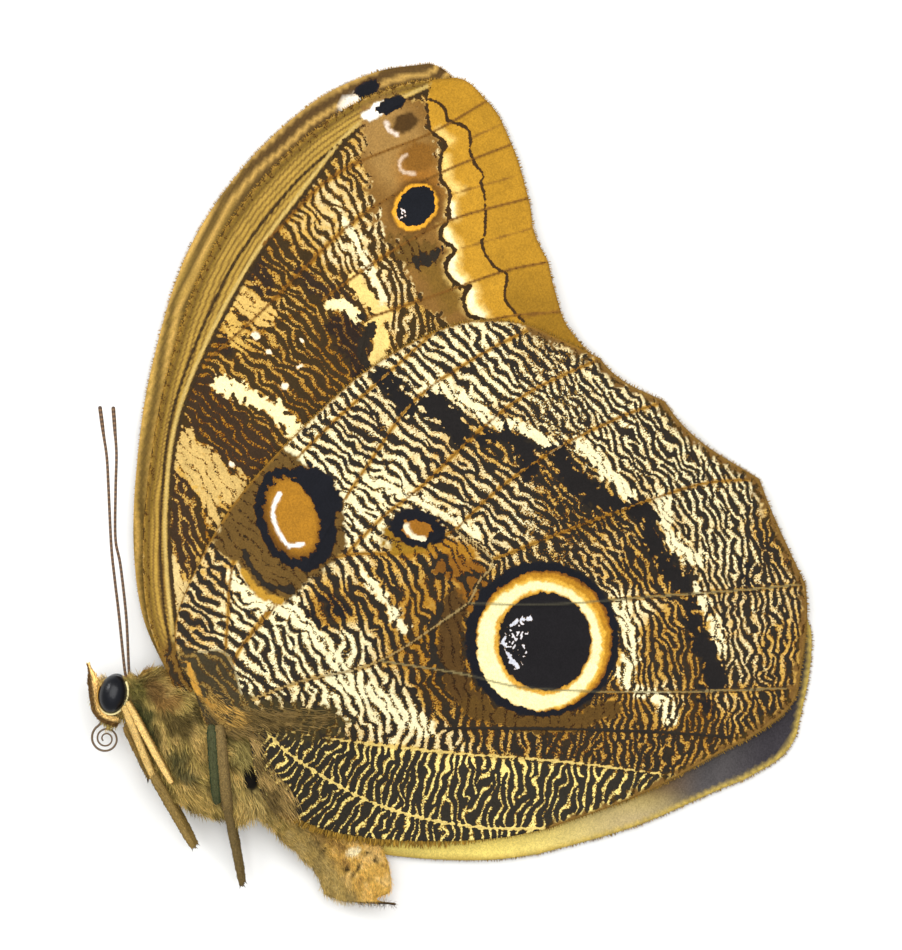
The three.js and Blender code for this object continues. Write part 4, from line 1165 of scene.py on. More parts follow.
SKIN = tinted_material("hairy cuticle", 0.8, 0.15, 0.35, 0.4, 1.0)
HAIR = tinted_material("insect hair", 0.7, 0.2, 0.9, 0.85, 1.12, strands=True)
HORN = tinted_material("insect horn", 0.4, 0.4, 0.3, 0.8, 1.15)
LEG_SCALES = tinted_material("leg scales", 0.7, 0.2, 0.16, 0.6, 1.25)
PALP_SCALES = tinted_material("palp scales", 0.75, 0.15, 0.16, 0.75, 1.15)

# %% [markdown]
# ## One skin for head, thorax and abdomen
#
# The solid model's three nodes of flesh are rounded masses side by side. Here overlapping balls and
# the abdomen's tube are fused by a fine voxel grid and smoothed, so neck and waist run through
# without a seam. The skin lies inside the solids by the coat's depth.

# %% Skin. Each ball has its place, radii, turn, height and inset; the first is the thorax
BODY_HEIGHT = 5.6
BALLS = [
    ((0.84, -6.24), (10.4, 8.3, 4.3), -40, BODY_HEIGHT, 0.5),
    ((-5.6, -0.9), (3.9, 3.7, 2.9), -8, BODY_HEIGHT, 0.4),
    ((-8.4, -0.9), (2.2, 2.6, 2.2), -8, BODY_HEIGHT, 0.0),
    ((-10.9, -0.6), (2.7, 2.9, 2.5), -70, BODY_HEIGHT, 0.3),
    ((-11.4, -2.8), (1.1, 1.2, 1.5), -20, BODY_HEIGHT, 0.1),
    ((1.6, -1.4), (3.2, 2.4, 1.6), -35, BODY_HEIGHT + 2.3, 0.1),
    ((1.6, -1.4), (3.2, 2.4, 1.4), -35, BODY_HEIGHT - 2.3, 0.1),
    ((-3.6, -1.6), (2.2, 1.6, 1.2), -35, BODY_HEIGHT + 2.6, 0.2),
    ((-3.6, -1.6), (2.2, 1.6, 1.2), -35, BODY_HEIGHT - 2.6, 0.2),
]
ABDOMEN_PATH = [(3.6, -7.8, 5.4), (5.4, -9, 5.2), (9.8, -13.3, 4.2), (14.5, -17, 3), (17.3, -20.4, 2.5),
                (18.1, -23, 2.5), (18.2, -24.4, 2.5)]
ABDOMEN_HALF = [1.6, 2.2, 3.4, 4.3, 4.5, 4.4, 4.3]
ABDOMEN_TALL = [1.6, 1.6, 1.5, 1.2, 1.1, 0.9, 0.8]
FLAP_PATH = [(16, -24.9, 2.7), (19.6, -25.4, 2.8), (22.9, -25.7, 2.8)]
ABDOMEN_RINGS = 7
VOXEL = 0.26


def nipped(sizes):
    """Sizes along the abdomen, a little smaller between its segments."""
    knots = np.linspace(0, 1, len(sizes))
    return lambda t: (np.interp(t, knots, sizes)
                      * (1 - 0.04 * abs(math.cos(math.pi * ABDOMEN_RINGS * t)) ** 5))


def hardened(blank, name):
    """A plain object with the mesh that the blank's modifiers make; the blank is dropped."""
    graph = bpy.context.evaluated_depsgraph_get()
    mesh = bpy.data.meshes.new_from_object(blank.evaluated_get(graph))
    mesh.name = name
    bpy.data.objects.remove(blank)
    return add_object(name, mesh)


def add_ball(mesh, centre, size, turn, z, inset=0.0):
    spot = Vector((np.append(centre, z) + ORIGIN) * MM)
    scale = Matrix.Diagonal([(s - inset) * MM for s in size] + [1])
    matrix = Matrix.Translation(spot) @ Matrix.Rotation(math.radians(turn), 4, "Z") @ scale
    bmesh.ops.create_icosphere(mesh, subdivisions=5, radius=1, matrix=matrix)


def build_skin():
    tube = limb(ABDOMEN_PATH, nipped(ABDOMEN_HALF), 0.3, 28, nipped(ABDOMEN_TALL))
    flap = limb(FLAP_PATH, lambda t: 0.45 - 0.25 * t, 0.3, 8, lambda t: 0.6 - 0.3 * t)
    blank = piece_from("skin blank", *joined([tube, flap]))
    mesh = bmesh.new()
    mesh.from_mesh(blank.data)
    for ball in BALLS:
        add_ball(mesh, *ball)
    mesh.to_mesh(blank.data)
    mesh.free()
    fuse = blank.modifiers.new("fuse", "REMESH")
    fuse.mode = "VOXEL"
    fuse.voxel_size = VOXEL * MM
    calm = blank.modifiers.new("calm", "SMOOTH")
    calm.factor, calm.iterations = 0.5, 6
    skin = hardened(blank, "body_skin")
    skin.data.shade_smooth()
    return skin


def unwrap(piece):
    """Unfolds a piece's own shape into islands, in a UV map named OFBake."""
    piece.data.uv_layers.new(name="OFBake")
    bpy.ops.object.select_all(action="DESELECT")
    piece.select_set(True)
    bpy.context.view_layer.objects.active = piece
    bpy.ops.object.mode_set(mode="EDIT")
    bpy.ops.mesh.select_all(action="SELECT")
    bpy.ops.uv.smart_project(angle_limit=math.radians(66), island_margin=0.004)
    bpy.ops.object.mode_set(mode="OBJECT")


# %% Patches of the body's hair, from head to tail: x, y, two radii, turn and colour
BODY_PATCHES = [
    (-9.2, 2.6, 2.6, 0.9, -10, "#8A6228"), (-7.2, -3, 1.3, 2.3, 20, "#2E3A1E"),
    (-7.7, 0, 1.3, 1.2, 0, "#5A5424"), (-5.6, -0.2, 2, 1.3, -60, "#7A5A30"),
    (-4, -1.2, 1.4, 0.9, 20, "#94703A"), (-6.4, -5.4, 1.1, 1.6, 20, "#3A3A20"),
    (-3, -3.8, 1.9, 1.4, -20, "#4A3C1C"), (-0.6, -2.6, 1.6, 1, -30, "#3E3418"),
    (-3.5, -7.4, 1.7, 1.3, 20, "#4A482A"), (-5, -8.4, 1.2, 1.6, 0, "#A88E4C"),
    (-2, -9.4, 1.5, 1, -30, "#4C4A2E"), (0, -6.6, 1.2, 1.6, 0, "#A88C4E"),
    (-1.1, -12.6, 2.6, 1.2, -20, "#BCA05A"), (1.2, -1.2, 1.6, 2.2, 30, "#B08A44"),
    (3.7, -3.8, 2.2, 1, -35, "#A4803C"), (4.2, -6.6, 1.6, 2.4, 10, "#988A50"),
    (2.4, -11.4, 1.6, 2.2, 20, "#A8965A"), (6.8, -13.2, 2.6, 2, -40, "#BCA464"),
    (-4.8, 2.6, 2.4, 1.2, -50, "#8A6A30"), (1.6, -5.4, 1.3, 0.8, 0, "#3A3420"),
]
CRACKS = [[(16.8, -21.4), (18.1, -21.8), (18.8, -20.6)], [(13.6, -18.2), (14.2, -19.2)],
          [(18.8, -19.9), (20, -19.4), (20.5, -20.4)]]
# A deep hollow beside the thorax at the hindwing's root, as an oval: painted shade, near black on the skin,
# and bare of hair.
PAINTED_SHADE_PIT = ((5.6, -10.2), (1.05, 1.9), 12)


def body_colour(places):
    """Olive-brown hair with dark and tan patches, a warmer, barer abdomen, and painted shade in a hollow by
    the thorax.
    """
    guide = Paint(places, "#AE9752")
    mottle = 0.6 * guide.noise(71, 0.5) + 0.6 * guide.noise(72, 1.3)
    guide.put(smooth(0.0, 0.9, mottle) * 0.85, "#D2B26A")
    guide.put(smooth(0.1, 0.9, -mottle) * 0.8, "#5A4A28")
    for x, y, wide, high, turn, colour in BODY_PATCHES:
        guide.put(0.85 * fade(0.6, 1.25, guide.reach((x, y), (wide, high), turn) + 0.2 * guide.rag),
                  colour)
    tail = smooth(0, 1, (guide.x - 10.5) * 0.62 - (guide.y + 15.2) * 0.78)
    guide.put(tail, "#DFB356")
    guide.put(tail * smooth(0.1, 1.0, mottle) * 0.8, "#ECC578")
    guide.put(tail * smooth(0.2, 1.1, -mottle) * 0.8, "#94703A")
    guide.put(tail * smooth(0.8, -1.8, guide.x + guide.y * 0.7 - 1.5) * 0.7, "#9C8A54")
    guide.marks([(crack, 0.14, 0.25, 0.3, "#3C2C16") for crack in CRACKS])
    guide.put(fade(0.7, 1.2, guide.reach((17.8, -19.3), (0.9, 0.6), 20) + 0.2 * guide.rag), "#FFEFC0")
    guide.put(fade(0.8, 1.3, guide.reach((20, -25.8), (3.8, 0.4))), "#4A3A28")
    # Painted shade: the hollow is filled with near-black.
    guide.put(fade(0.7, 1.1, guide.reach(*PAINTED_SHADE_PIT)), "#120D07")
    return guide.pale


skin = build_skin()
unwrap(skin)
flat = np.zeros(len(skin.data.vertices) * 3, np.float32)
skin.data.vertices.foreach_get("co", flat)
skin_places = flat.reshape(-1, 3) / MM - ORIGIN
set_colour(skin.data, body_colour(skin_places))
skin_blank = skin.data.copy()
finish_piece(skin, SKIN, ("head", "thorax", "abdomen"))

# %% [markdown]
# ## Hair by a node tree
#
# Hairs are strands of mesh. A geometry node tree strews points over the skin, stands a strand at
# each one, lays it along the lie of the coat and joins everything. Density, length, lift and lie are
# attributes of the skin, so one tree serves thorax, head, abdomen, wing roots, legs and fringes.

# %% Strands
STRAND_RINGS = ((0, 1), (0.35, 0.92), (0.7, 0.6))


def strand_object(name, girth, bend):
    """A tapering three-sided strand of length 1 that leans over as it rises."""
    places = []
    for height, size in STRAND_RINGS:
        for turn in np.radians([0, 120, 240]):
            places.append((bend * height**2 + girth * size * math.cos(turn),
                           girth * size * math.sin(turn), height))
    faces = [(low + k, low + (k + 1) % 3, low + (k + 1) % 3 + 3, low + k + 3)
             for low in (0, 3) for k in range(3)]
    faces += [(6 + k, 6 + (k + 1) % 3, 9) for k in range(3)] + [(2, 1, 0)]
    mesh = bpy.data.meshes.new(name)
    mesh.from_pydata(places + [(bend, 0, 1)], [], faces)
    mesh.shade_smooth()
    patch = mesh.uv_layers.new(name="patch")
    for loop in mesh.loops:
        _, across, height = mesh.vertices[loop.vertex_index].co
        patch.data[loop.index].uv = (0.5 + 0.45 * across / girth, height)
    return add_object(name, mesh)


FINE_STRAND = strand_object("fine strand", 0.03, 0.16)
BROAD_STRAND = strand_object("broad strand", 0.16, 0.1)

# %% The coat's node tree
PATCH = 0.003
COAT_INPUTS = {"Skin": "Geometry", "Strand": "Object", "Material": "Material", "Density": "Float",
               "Disorder": "Float", "Seed": "Int"}
COAT_ATTRIBUTES = {"thick": "FLOAT", "length": "FLOAT", "lift": "FLOAT", "lie": "FLOAT_VECTOR",
                   "OFBake": "FLOAT_VECTOR", "root_uv": "FLOAT_VECTOR", "patch": "FLOAT_VECTOR"}
# Random values, each with its own seed: kind, least and most.
CHANCES = {"shade": ("FLOAT", 0, 1), "stray": ("FLOAT_VECTOR", (-1, -1, -1), (1, 1, 1)),
           "spin": ("FLOAT_VECTOR", (0, 0, 0), (0, 0, 2 * math.pi)), "size": ("FLOAT", 0.6, 1.2)}
# The strand's direction: the lie without its part along the normal, raised by the lift, with a stray.
AIM_STEPS = (("upright", "DOT_PRODUCT", "lie", "normal"), ("along", "SCALE", "normal", "upright"),
             ("flat", "SUBTRACT", "lie", "along"), ("rise", "SCALE", "normal", "lift"),
             ("raised", "ADD", "flat", "rise"), ("astray", "SCALE", "stray", "Disorder"),
             ("aim", "ADD", "raised", "astray"), ("small", "SCALE", "patch", "Patch"),
             ("root_patch", "ADD", "root_uv", "small"))

tree = bpy.data.node_groups.new("coat of strands", "GeometryNodeTree")
tree.is_modifier = True
for label, kind in COAT_INPUTS.items():
    tree.interface.new_socket(label, in_out="INPUT", socket_type="NodeSocket" + kind)
tree.interface.new_socket("Coat", in_out="OUTPUT", socket_type="NodeSocketGeometry")
given = add_node(tree, "NodeGroupInput").outputs
value = {label: given[label] for label in COAT_INPUTS} | {"Patch": PATCH}
for name, kind in COAT_ATTRIBUTES.items():
    node = add_node(tree, "GeometryNodeInputNamedAttribute", {"Name": name}, data_type=kind)
    value[name] = live(node.outputs, "Attribute")
for shift, (name, (kind, least, most)) in enumerate(CHANCES.items(), 1):
    seed = add_node(tree, "ShaderNodeMath", {0: given["Seed"], 1: shift}, operation="ADD").outputs[0]
    node = add_node(tree, "FunctionNodeRandomValue", {"Min": least, "Max": most, "Seed": seed},
                    data_type=kind)
    value[name] = live(node.outputs, "Value")
amount = add_node(tree, "ShaderNodeMath", {0: given["Density"], 1: value["thick"]},
                  operation="MULTIPLY").outputs[0]
strewn = add_node(tree, "GeometryNodeDistributePointsOnFaces",
                  {"Mesh": given["Skin"], "Density": amount, "Seed": given["Seed"]}).outputs
value["normal"] = strewn["Normal"]
for name, operation, first, second in AIM_STEPS:
    node = add_node(tree, "ShaderNodeVectorMath", operation=operation)
    feed(tree, node, {0: value[first], "Scale" if operation == "SCALE" else 1: value[second]})
    value[name] = next(output for output in node.outputs if output.enabled)

coat = strewn["Points"]
for name, kind, source in (("root_uv", "FLOAT2", "OFBake"), ("strand", "FLOAT", "shade")):
    coat = add_node(tree, "GeometryNodeStoreNamedAttribute",
                    {"Geometry": coat, "Name": name, "Value": value[source]},
                    data_type=kind, domain="POINT").outputs[0]
coat = add_node(tree, "GeometryNodeRemoveAttribute", {"Geometry": coat, "Name": "OFBake"}).outputs[0]
spin = add_node(tree, "FunctionNodeEulerToRotation", {"Euler": value["spin"]}).outputs[0]
turn = add_node(tree, "FunctionNodeAlignRotationToVector", {"Rotation": spin, "Vector": value["aim"]},
                axis="Z").outputs[0]
size = add_node(tree, "ShaderNodeMath", {0: value["length"], 1: value["size"]},
                operation="MULTIPLY").outputs[0]
shape = add_node(tree, "GeometryNodeObjectInfo", {"Object": given["Strand"]}).outputs["Geometry"]
coat = add_node(tree, "GeometryNodeInstanceOnPoints",
                {"Points": coat, "Instance": shape, "Rotation": turn, "Scale": size}).outputs[0]
coat = add_node(tree, "GeometryNodeRealizeInstances", {"Geometry": coat}).outputs[0]
value["height"] = add_node(tree, "ShaderNodeSeparateXYZ", {0: value["patch"]}).outputs["Y"]
for name, kind, domain, source in (("OFBake", "FLOAT2", "CORNER", "root_patch"),
                                   ("tip", "FLOAT", "POINT", "height")):
    coat = add_node(tree, "GeometryNodeStoreNamedAttribute",
                    {"Geometry": coat, "Name": name, "Value": value[source]},
                    data_type=kind, domain=domain).outputs[0]
for name in ("root_uv", "patch", "length", "thick", "lie", "lift"):
    coat = add_node(tree, "GeometryNodeRemoveAttribute", {"Geometry": coat, "Name": name}).outputs[0]
coat = add_node(tree, "GeometryNodeSetMaterial",
                {"Geometry": coat, "Material": given["Material"]}).outputs[0]
add_node(tree, "NodeGroupOutput", {0: coat})
coat_tree = tree
print("the coat's tree has", len(tree.nodes), "nodes")


# %% Growing a coat
def grow_coat(name, mesh, thick, length, lift, lie, density, disorder, seed, strand):
    """Grows strands on a mesh with a tint and an unwrap. Lengths in mm, density per square mm."""
    for label, values in (("thick", thick), ("length", length * MM), ("lift", lift)):
        set_values(mesh, label, values)
    layer = mesh.attributes.new("lie", "FLOAT_VECTOR", "POINT")
    layer.data.foreach_set("vector", np.asarray(lie, np.float32).ravel())
    base = add_object(name + " base", mesh)
    grow = base.modifiers.new("coat", "NODES")
    grow.node_group = coat_tree
    values = {"Strand": strand, "Material": HAIR, "Density": density / MM**2, "Disorder": disorder,
              "Seed": seed}
    for socket in coat_tree.interface.items_tree:
        if socket.in_out == "INPUT" and socket.name in values:
            grow[socket.identifier] = values[socket.name]
    declare(hardened(base, name))


def coat_base(places, faces, colours):
    """An unwrapped and tinted mesh for a coat to grow on."""
    base = piece_from("coat base", places, faces)
    unwrap(base)
    mesh = base.data
    set_colour(mesh, colours)
    bpy.data.objects.remove(base)
    return mesh


# %% [markdown]
# ## The coat of the body
#
# The hair lies backwards from head to tail, longer on the thorax and at the wing roots and short
# on the brow. The dried abdomen has lost most of its hair.

# %% Notes of the coat: x, y, direction, length, lift
COAT_NOTES = [
    (-12.1, 2.2, 125, 0.75, 0.9), (-10.4, 2.6, 80, 0.8, 0.9), (-8.8, 3.1, 40, 1, 0.7),
    (-10.6, -0.4, 0, 0.35, 0.4), (-12.1, -3.1, -100, 0.9, 0.5), (-10.7, -4.1, -95, 1.5, 0.5),
    (-8.3, 0, -30, 1, 0.5), (-6.6, 2.2, 10, 1.4, 0.5), (-5.2, 0, -40, 1.1, 0.35),
    (-7.8, -3, -70, 0.8, 0.3), (-6, -6, -65, 1.3, 0.35), (-3.6, -3, -50, 1.2, 0.35),
    (-3, -7.2, -60, 1.5, 0.4), (-4.2, -11.4, -60, 1.3, 0.4), (-1.2, -12, -45, 1.5, 0.45),
    (-1.8, 1.2, -40, 1.2, 0.35), (1.2, -1.8, -45, 1.6, 0.4), (0, -6, -60, 1.4, 0.4),
    (3.6, -3.6, -35, 1.7, 0.35), (4.2, -7.2, -60, 1.7, 0.4), (2.4, -11.4, -75, 1.6, 0.4),
    (5.4, -13.8, -80, 2, 0.45), (7.8, -10.8, -55, 1.7, 0.4), (0.6, -14.2, -55, 1.4, 0.5),
    (6.8, -15.8, -60, 1.2, 0.5), (11.4, -18, -55, 0.9, 0.35), (16.2, -24, -70, 0.8, 0.35),
    (20.4, -21.6, -80, 0.7, 0.35),
]
EYE = {"centre": (-10.8, -0.3), "size": (2.35, 1.7, 1.7), "turn": 78, "out": 1.75}
MIDDLE = (-8.4, -0.9)


def way_out(angle, guide):
    """The notes' angles, which a half turn leaves the same, turned to point away from the head."""
    turn = np.radians(angle)
    lie = np.stack([np.cos(turn), np.sin(turn), np.zeros(len(turn))], axis=1)
    away = lie[:, 0] * (guide.x - MIDDLE[0]) + lie[:, 1] * (guide.y - MIDDLE[1])
    lie[away < 0] *= -1
    return lie


def grow_body(name, chosen, density, disorder, seed):
    """Coat on the part of the skin where the chosen share is more than 0."""
    guide = Paint(skin_places, CREAM)
    angle, length, lift = guide.follow(COAT_NOTES)
    angle = angle + 14 * guide.noise(81, 0.9)
    clear = smooth(0.98, 1.08, guide.reach(EYE["centre"], EYE["size"][:2], EYE["turn"]))
    # No hair grows in the hollow where shade is painted.
    thick = np.clip(chosen, 0, 1) * clear * smooth(0.8, 1.0, guide.reach(*PAINTED_SHADE_PIT))
    grow_coat(name, skin_blank.copy(), thick, length, lift, way_out(angle, guide), density, disorder,
              seed, FINE_STRAND)


skin_x, skin_y, skin_z = skin_places.T
on_head = smooth(-7.4, -8.0, skin_x - 0.35 * skin_y)
on_tail = smooth(-0.3, 0.5, (skin_x - 9.4) * 0.62 - (skin_y + 13.9) * 0.78)
for half, name, seed in ((1, "left", 5), (-1, "right", 8)):
    on_half = (skin_z - BODY_HEIGHT) * half > 0
    grow_body("thorax_coat_" + name, on_half * (1 - on_head) * (1 - on_tail), 26, 0.24, seed)
grow_body("head_coat", on_head, 36, 0.25, 6)
grow_body("abdomen_coat", on_tail, 22, 0.4, 7)

# %% [markdown]
# ## Hair at the wing roots and the fringes
#
# Long hair runs from the root of the hindwing out along its rear part. Every wing edge carries a
# fringe of short broad scales, which makes its outline soft.

# %% Wing root hair
ROOT_NOTES = [
    (1.2, -1.2, -40, 1.5, 0.1), (4.8, -3, -25, 2, 0.1), (11.4, -3.6, -8, 1.9, 0.12),
    (16.8, -3, 5, 1.2, 0.1), (5.4, -7.2, -60, 2.2, 0.14), (9.6, -9, -55, 1.8, 0.14),
    (8.4, -13.2, -60, 1.9, 0.2), (-0.6, 2.4, -40, 1.2, 0.08),
]
ROOT_ZONE = [
    (-2.3, 3.1), (0.8, -0.7), (4, -1.2), (11.4, -1.7), (17.6, -2.6), (13.6, -4.6), (7.6, -4.8),
    (6.8, -6.6), (11.4, -12.2), (10.9, -16.3), (6.4, -14.6), (4.2, -9.6), (0, -3.6),
]


def wing_root_coat():
    places, faces = HINDWING["fine"]
    middle = places[faces].mean(axis=1)
    used, faces = np.unique(faces[within(*middle.T, ROOT_ZONE)], return_inverse=True)
    guide = Paint(places[used], "#A0854E")
    mottle = guide.noise(73, 0.8)
    guide.put(smooth(0, 1.2, mottle) * 0.8, "#B4945A")
    guide.put(smooth(0.2, 1.2, -mottle) * 0.8, "#544424")
    guide.put(smooth(-5.5, -4.5, guide.y) * 0.7, "#5C4A26")
    guide.put(fade(0.5, 1.3, guide.reach((2.3, -1.9), (2.4, 1.4), -40)), "#BC9448")
    angle, length, lift = guide.follow(ROOT_NOTES)
    level = wing_level("hindwing_left", guide.x, guide.y) + HALF_THICK
    mesh = coat_base(np.column_stack([places[used], level]), faces.reshape(-1, 3).tolist(), guide.pale)
    edge = np.abs(guide.depth(ROOT_ZONE))
    grow_coat("wing_root_coat", mesh, smooth(0, 1.2, edge), length, lift, way_out(angle, guide), 20,
              0.1, 9, FINE_STRAND)


wing_root_coat()

# %% Fringes
FRINGE_LENGTH = 0.38
FRINGE_BAND = (0.16, 0.02)


def fringe(name, seed):
    """Short broad scales all along one wing's edge."""
    plan = WINGS[name]["plan"]
    rim = plan["outline"]
    run = np.roll(rim, -1, axis=0) - np.roll(rim, 1, axis=0)
    run = run / np.hypot(*run.T)[:, None]
    out = np.stack([run[:, 1], -run[:, 0]], axis=1) * (1 if wing_turns(plan) else -1)
    strips = np.vstack([rim - inset * out for inset in FRINGE_BAND])
    spots = laid(name, strips)
    ring = np.arange(len(rim))
    after = (ring + 1) % len(rim)
    faces = np.column_stack([ring, after, after + len(rim), ring + len(rim)]).tolist()
    guide = Paint(strips, "#8A6A24" if plan is HINDWING else "#9A7428")
    guide.put(smooth(0, 1.2, guide.rag) * 0.6, "#5A4418")
    mesh = coat_base(np.column_stack([spots, wing_level(name, *spots.T)]), faces, guide.pale)
    away = laid(name, rim + out) - laid(name, rim)
    lie = np.column_stack([np.vstack([away, away]), np.zeros(len(strips))])
    far = np.hypot(guide.x - HINGE[0], guide.y - HINGE[1])
    tail = (name == "hindwing_left") * (guide.y < -14) * smooth(36, 26, guide.x)
    length = FRINGE_LENGTH * (0.5 + 0.5 * smooth(20, 45, far) + 2 * tail)
    grow_coat(name + "_fringe", mesh, 1, length, 0.05, lie, 55, 0.25, seed, BROAD_STRAND)


for seed, name in enumerate(WINGS, 20):
    fringe(name, seed)

# %% [markdown]
# ## Eyes
#
# An owl butterfly's eye is a smooth black-brown dome of thousands of facets. The dome is polished,
# so its lamp highlight is small and sharp. The facets are about 0.03 mm across; the bump draws them
# three times coarser so that they show. A rim of cream scales runs behind and below each eye.

# %% Eyes and their rims
FACET = 0.09
SHIMMER = 1.6
eye_facets, tree, shader = new_material("compound eye")
place = add_node(tree, "ShaderNodeTexCoord").outputs["Object"]
facets = add_node(tree, "ShaderNodeTexVoronoi", {"Vector": place, "Scale": 1 / (FACET * MM)})
bump = add_node(tree, "ShaderNodeBump",
                {"Height": facets.outputs["Distance"], "Strength": 0.35, "Distance": 0.00003},
                invert=True)
clouds = add_node(tree, "ShaderNodeTexNoise", {"Vector": place, "Scale": 1 / (SHIMMER * MM)})
tone = add_node(tree, "ShaderNodeMix", {0: clouds.outputs["Fac"], 6: linear("#050609") + [1],
                                        7: linear("#12141C") + [1]}, data_type="RGBA")
feed(tree, shader, {"Base Color": tone.outputs[2], "Normal": bump.outputs["Normal"], "Roughness": 0.3,
                    "Coat Weight": 0.15, "Specular IOR Level": 0.25, "Coat Roughness": 0.12})

SIDES = {"left": 1, "right": -1}
RIM_ANGLES = (32, -205)
RIM_OUT = 0.1
RIM_RISE = 0.25
for suffix, side in SIDES.items():
    level = BODY_HEIGHT + side * EYE["out"]
    globe = bmesh.new()
    add_ball(globe, EYE["centre"], EYE["size"], EYE["turn"], level)
    mesh = bpy.data.meshes.new("eye_dome_" + suffix)
    globe.to_mesh(mesh)
    globe.free()
    mesh.shade_smooth()
    finish_piece(add_object("eye_dome_" + suffix, mesh), eye_facets, ("eye_" + suffix,))
    turn = math.radians(EYE["turn"])
    a = np.radians(np.linspace(*RIM_ANGLES, 20)) - turn
    u, v = (EYE["size"][0] + RIM_OUT) * np.cos(a), (EYE["size"][1] + RIM_OUT) * np.sin(a)
    path = np.stack([EYE["centre"][0] + u * math.cos(turn) - v * math.sin(turn),
                     EYE["centre"][1] + u * math.sin(turn) + v * math.cos(turn),
                     np.full(len(a), level + side * RIM_RISE)], axis=1)
    places, faces, along, _ = limb(path, lambda t: 0.15 - 0.04 * t, 0.15, 8, lambda t: 0.3)
    rim = piece_from("eye_rim_" + suffix, places, faces)
    set_colour(rim.data, blend("#F4E3A4", "#B98C42", smooth(0.55, 0.8, along)))
    finish_piece(rim, PALP_SCALES)

# %% [markdown]
# ## Palps, feelers and tongue
#
# Two palps rise in front of the face, brown outside and cream inside, closely covered in scales.
# The feelers are thin and ringed with barely thicker tips. The tongue is coiled like a watch spring.

# %% Palps
PALP_PATH = [(-10.6, -3.6), (-11.9, -3.1), (-12.7, -2.2), (-13, -0.8), (-13.2, 0.6), (-13.4, 1.8),
             (-13.8, 3.1)]
PALP_STEP = 0.12


def palp_width(t):
    return 0.52 * (1 - 0.86 * float(smooth(0.72, 1, t)))


for suffix, side in SIDES.items():
    path = [(x, y, BODY_HEIGHT + side * (1.2 - 0.06 * i)) for i, (x, y) in enumerate(PALP_PATH)]
    places, faces, along, around = limb(path, palp_width, PALP_STEP, 20, lambda t: 0.85 * palp_width(t))
    palp = piece_from("palp_scaled_" + suffix, places, faces)
    colours = blend("#F2CC80", "#5E4420", smooth(-0.25, 0.15, np.cos(around)))
    set_colour(palp.data, colours)
    finish_piece(palp, PALP_SCALES, ("palp_" + suffix,))
    line = np.gradient(spline(path, PALP_STEP), axis=0)
    line /= np.linalg.norm(line, axis=1)[:, None]
    lie = line[(along * (len(line) - 1)).astype(int)]
    grow_coat("palp_coat_" + suffix, coat_base(places, faces, colours), 1, 0.45, 0.22, lie, 60, 0.2,
              31 + side, BROAD_STRAND)

# %% Feelers
RING_SPACING = 0.55
FEELERS = {
    "left": [(-9.3, 1.8), (-9.5, 3.2), (-10.1, 9.1), (-10.6, 13.4), (-11, 17.4), (-11.3, 23.8),
             (-11.5, 27.8),
             (-11.9, 30.7), (-12.3, 33.8)],
    "right": [(-9, 1.9), (-9.1, 3.2), (-9.4, 8.9), (-10.1, 15), (-10.7, 18.2), (-10.7, 23.8),
              (-10.6, 28.2),
              (-10.8, 31.2), (-11, 33.8)],
}
for suffix, course in FEELERS.items():
    last = len(course) - 1
    path = [(x, y, BODY_HEIGHT + SIDES[suffix] * (1.0 + 1.2 * i / last))
            for i, (x, y) in enumerate(course)]
    places, faces, along, _ = limb(path, lambda t: 0.17 + 0.07 * float(smooth(0.86, 0.96, t)), 0.11, 10)
    feeler = piece_from("antenna_ringed_" + suffix, places, faces)
    length = np.linalg.norm(np.diff(spline(path, 0.5), axis=0), axis=1).sum()
    rings = np.cos(2 * np.pi * along * length / RING_SPACING)
    set_colour(feeler.data, blend("#513824", "#8E6C46", smooth(0.2, 0.8, rings) * 0.8))
    finish_piece(feeler, HORN, ("antenna_" + suffix,))

# %% Tongue
MOUTH = (-11.6, -2.9, BODY_HEIGHT)
COIL_CENTRE = (-11.75, -5.7)
COIL_OUTER, COIL_INNER = 1.86, 0.42
COIL_START, COIL_TURNS, COIL_POINTS = 104, 2.3, 60
t = np.linspace(0, 1, COIL_POINTS)
radius = COIL_OUTER + (COIL_INNER - COIL_OUTER) * t**0.8
heading = np.radians(COIL_START + 360 * COIL_TURNS * t)
coil = np.stack([COIL_CENTRE[0] + radius * np.cos(heading), COIL_CENTRE[1] + radius * np.sin(heading),
                 np.full(COIL_POINTS, BODY_HEIGHT)], axis=1)
places, faces, _, around = limb(np.vstack([MOUTH, coil[1:]]), lambda t: 0.15 - 0.06 * t, 0.12, 10,
                                lambda t: 0.24 - 0.1 * t)
tongue = piece_from("tongue_coiled", places, faces)
# Lighter along the tongue's top side than its underside: a painted highlight on dark brown horn.
set_colour(tongue.data, blend("#3A2A1C", "#6A543A", smooth(-0.2, 0.9, np.sin(around))))
finish_piece(tongue, HORN, ("proboscis",))

# %% [markdown]
# ## Legs
#
# Each leg is folded: thigh and shin lie side by side along the thorax and the foot trails below.
# They are covered in flat scales, brown with a cream ridge on the middle legs and dark green on the
# hind thighs. The forelegs are the tiny brush-like pair tucked between them. Small spines point
# towards the toe, which ends in two claws.

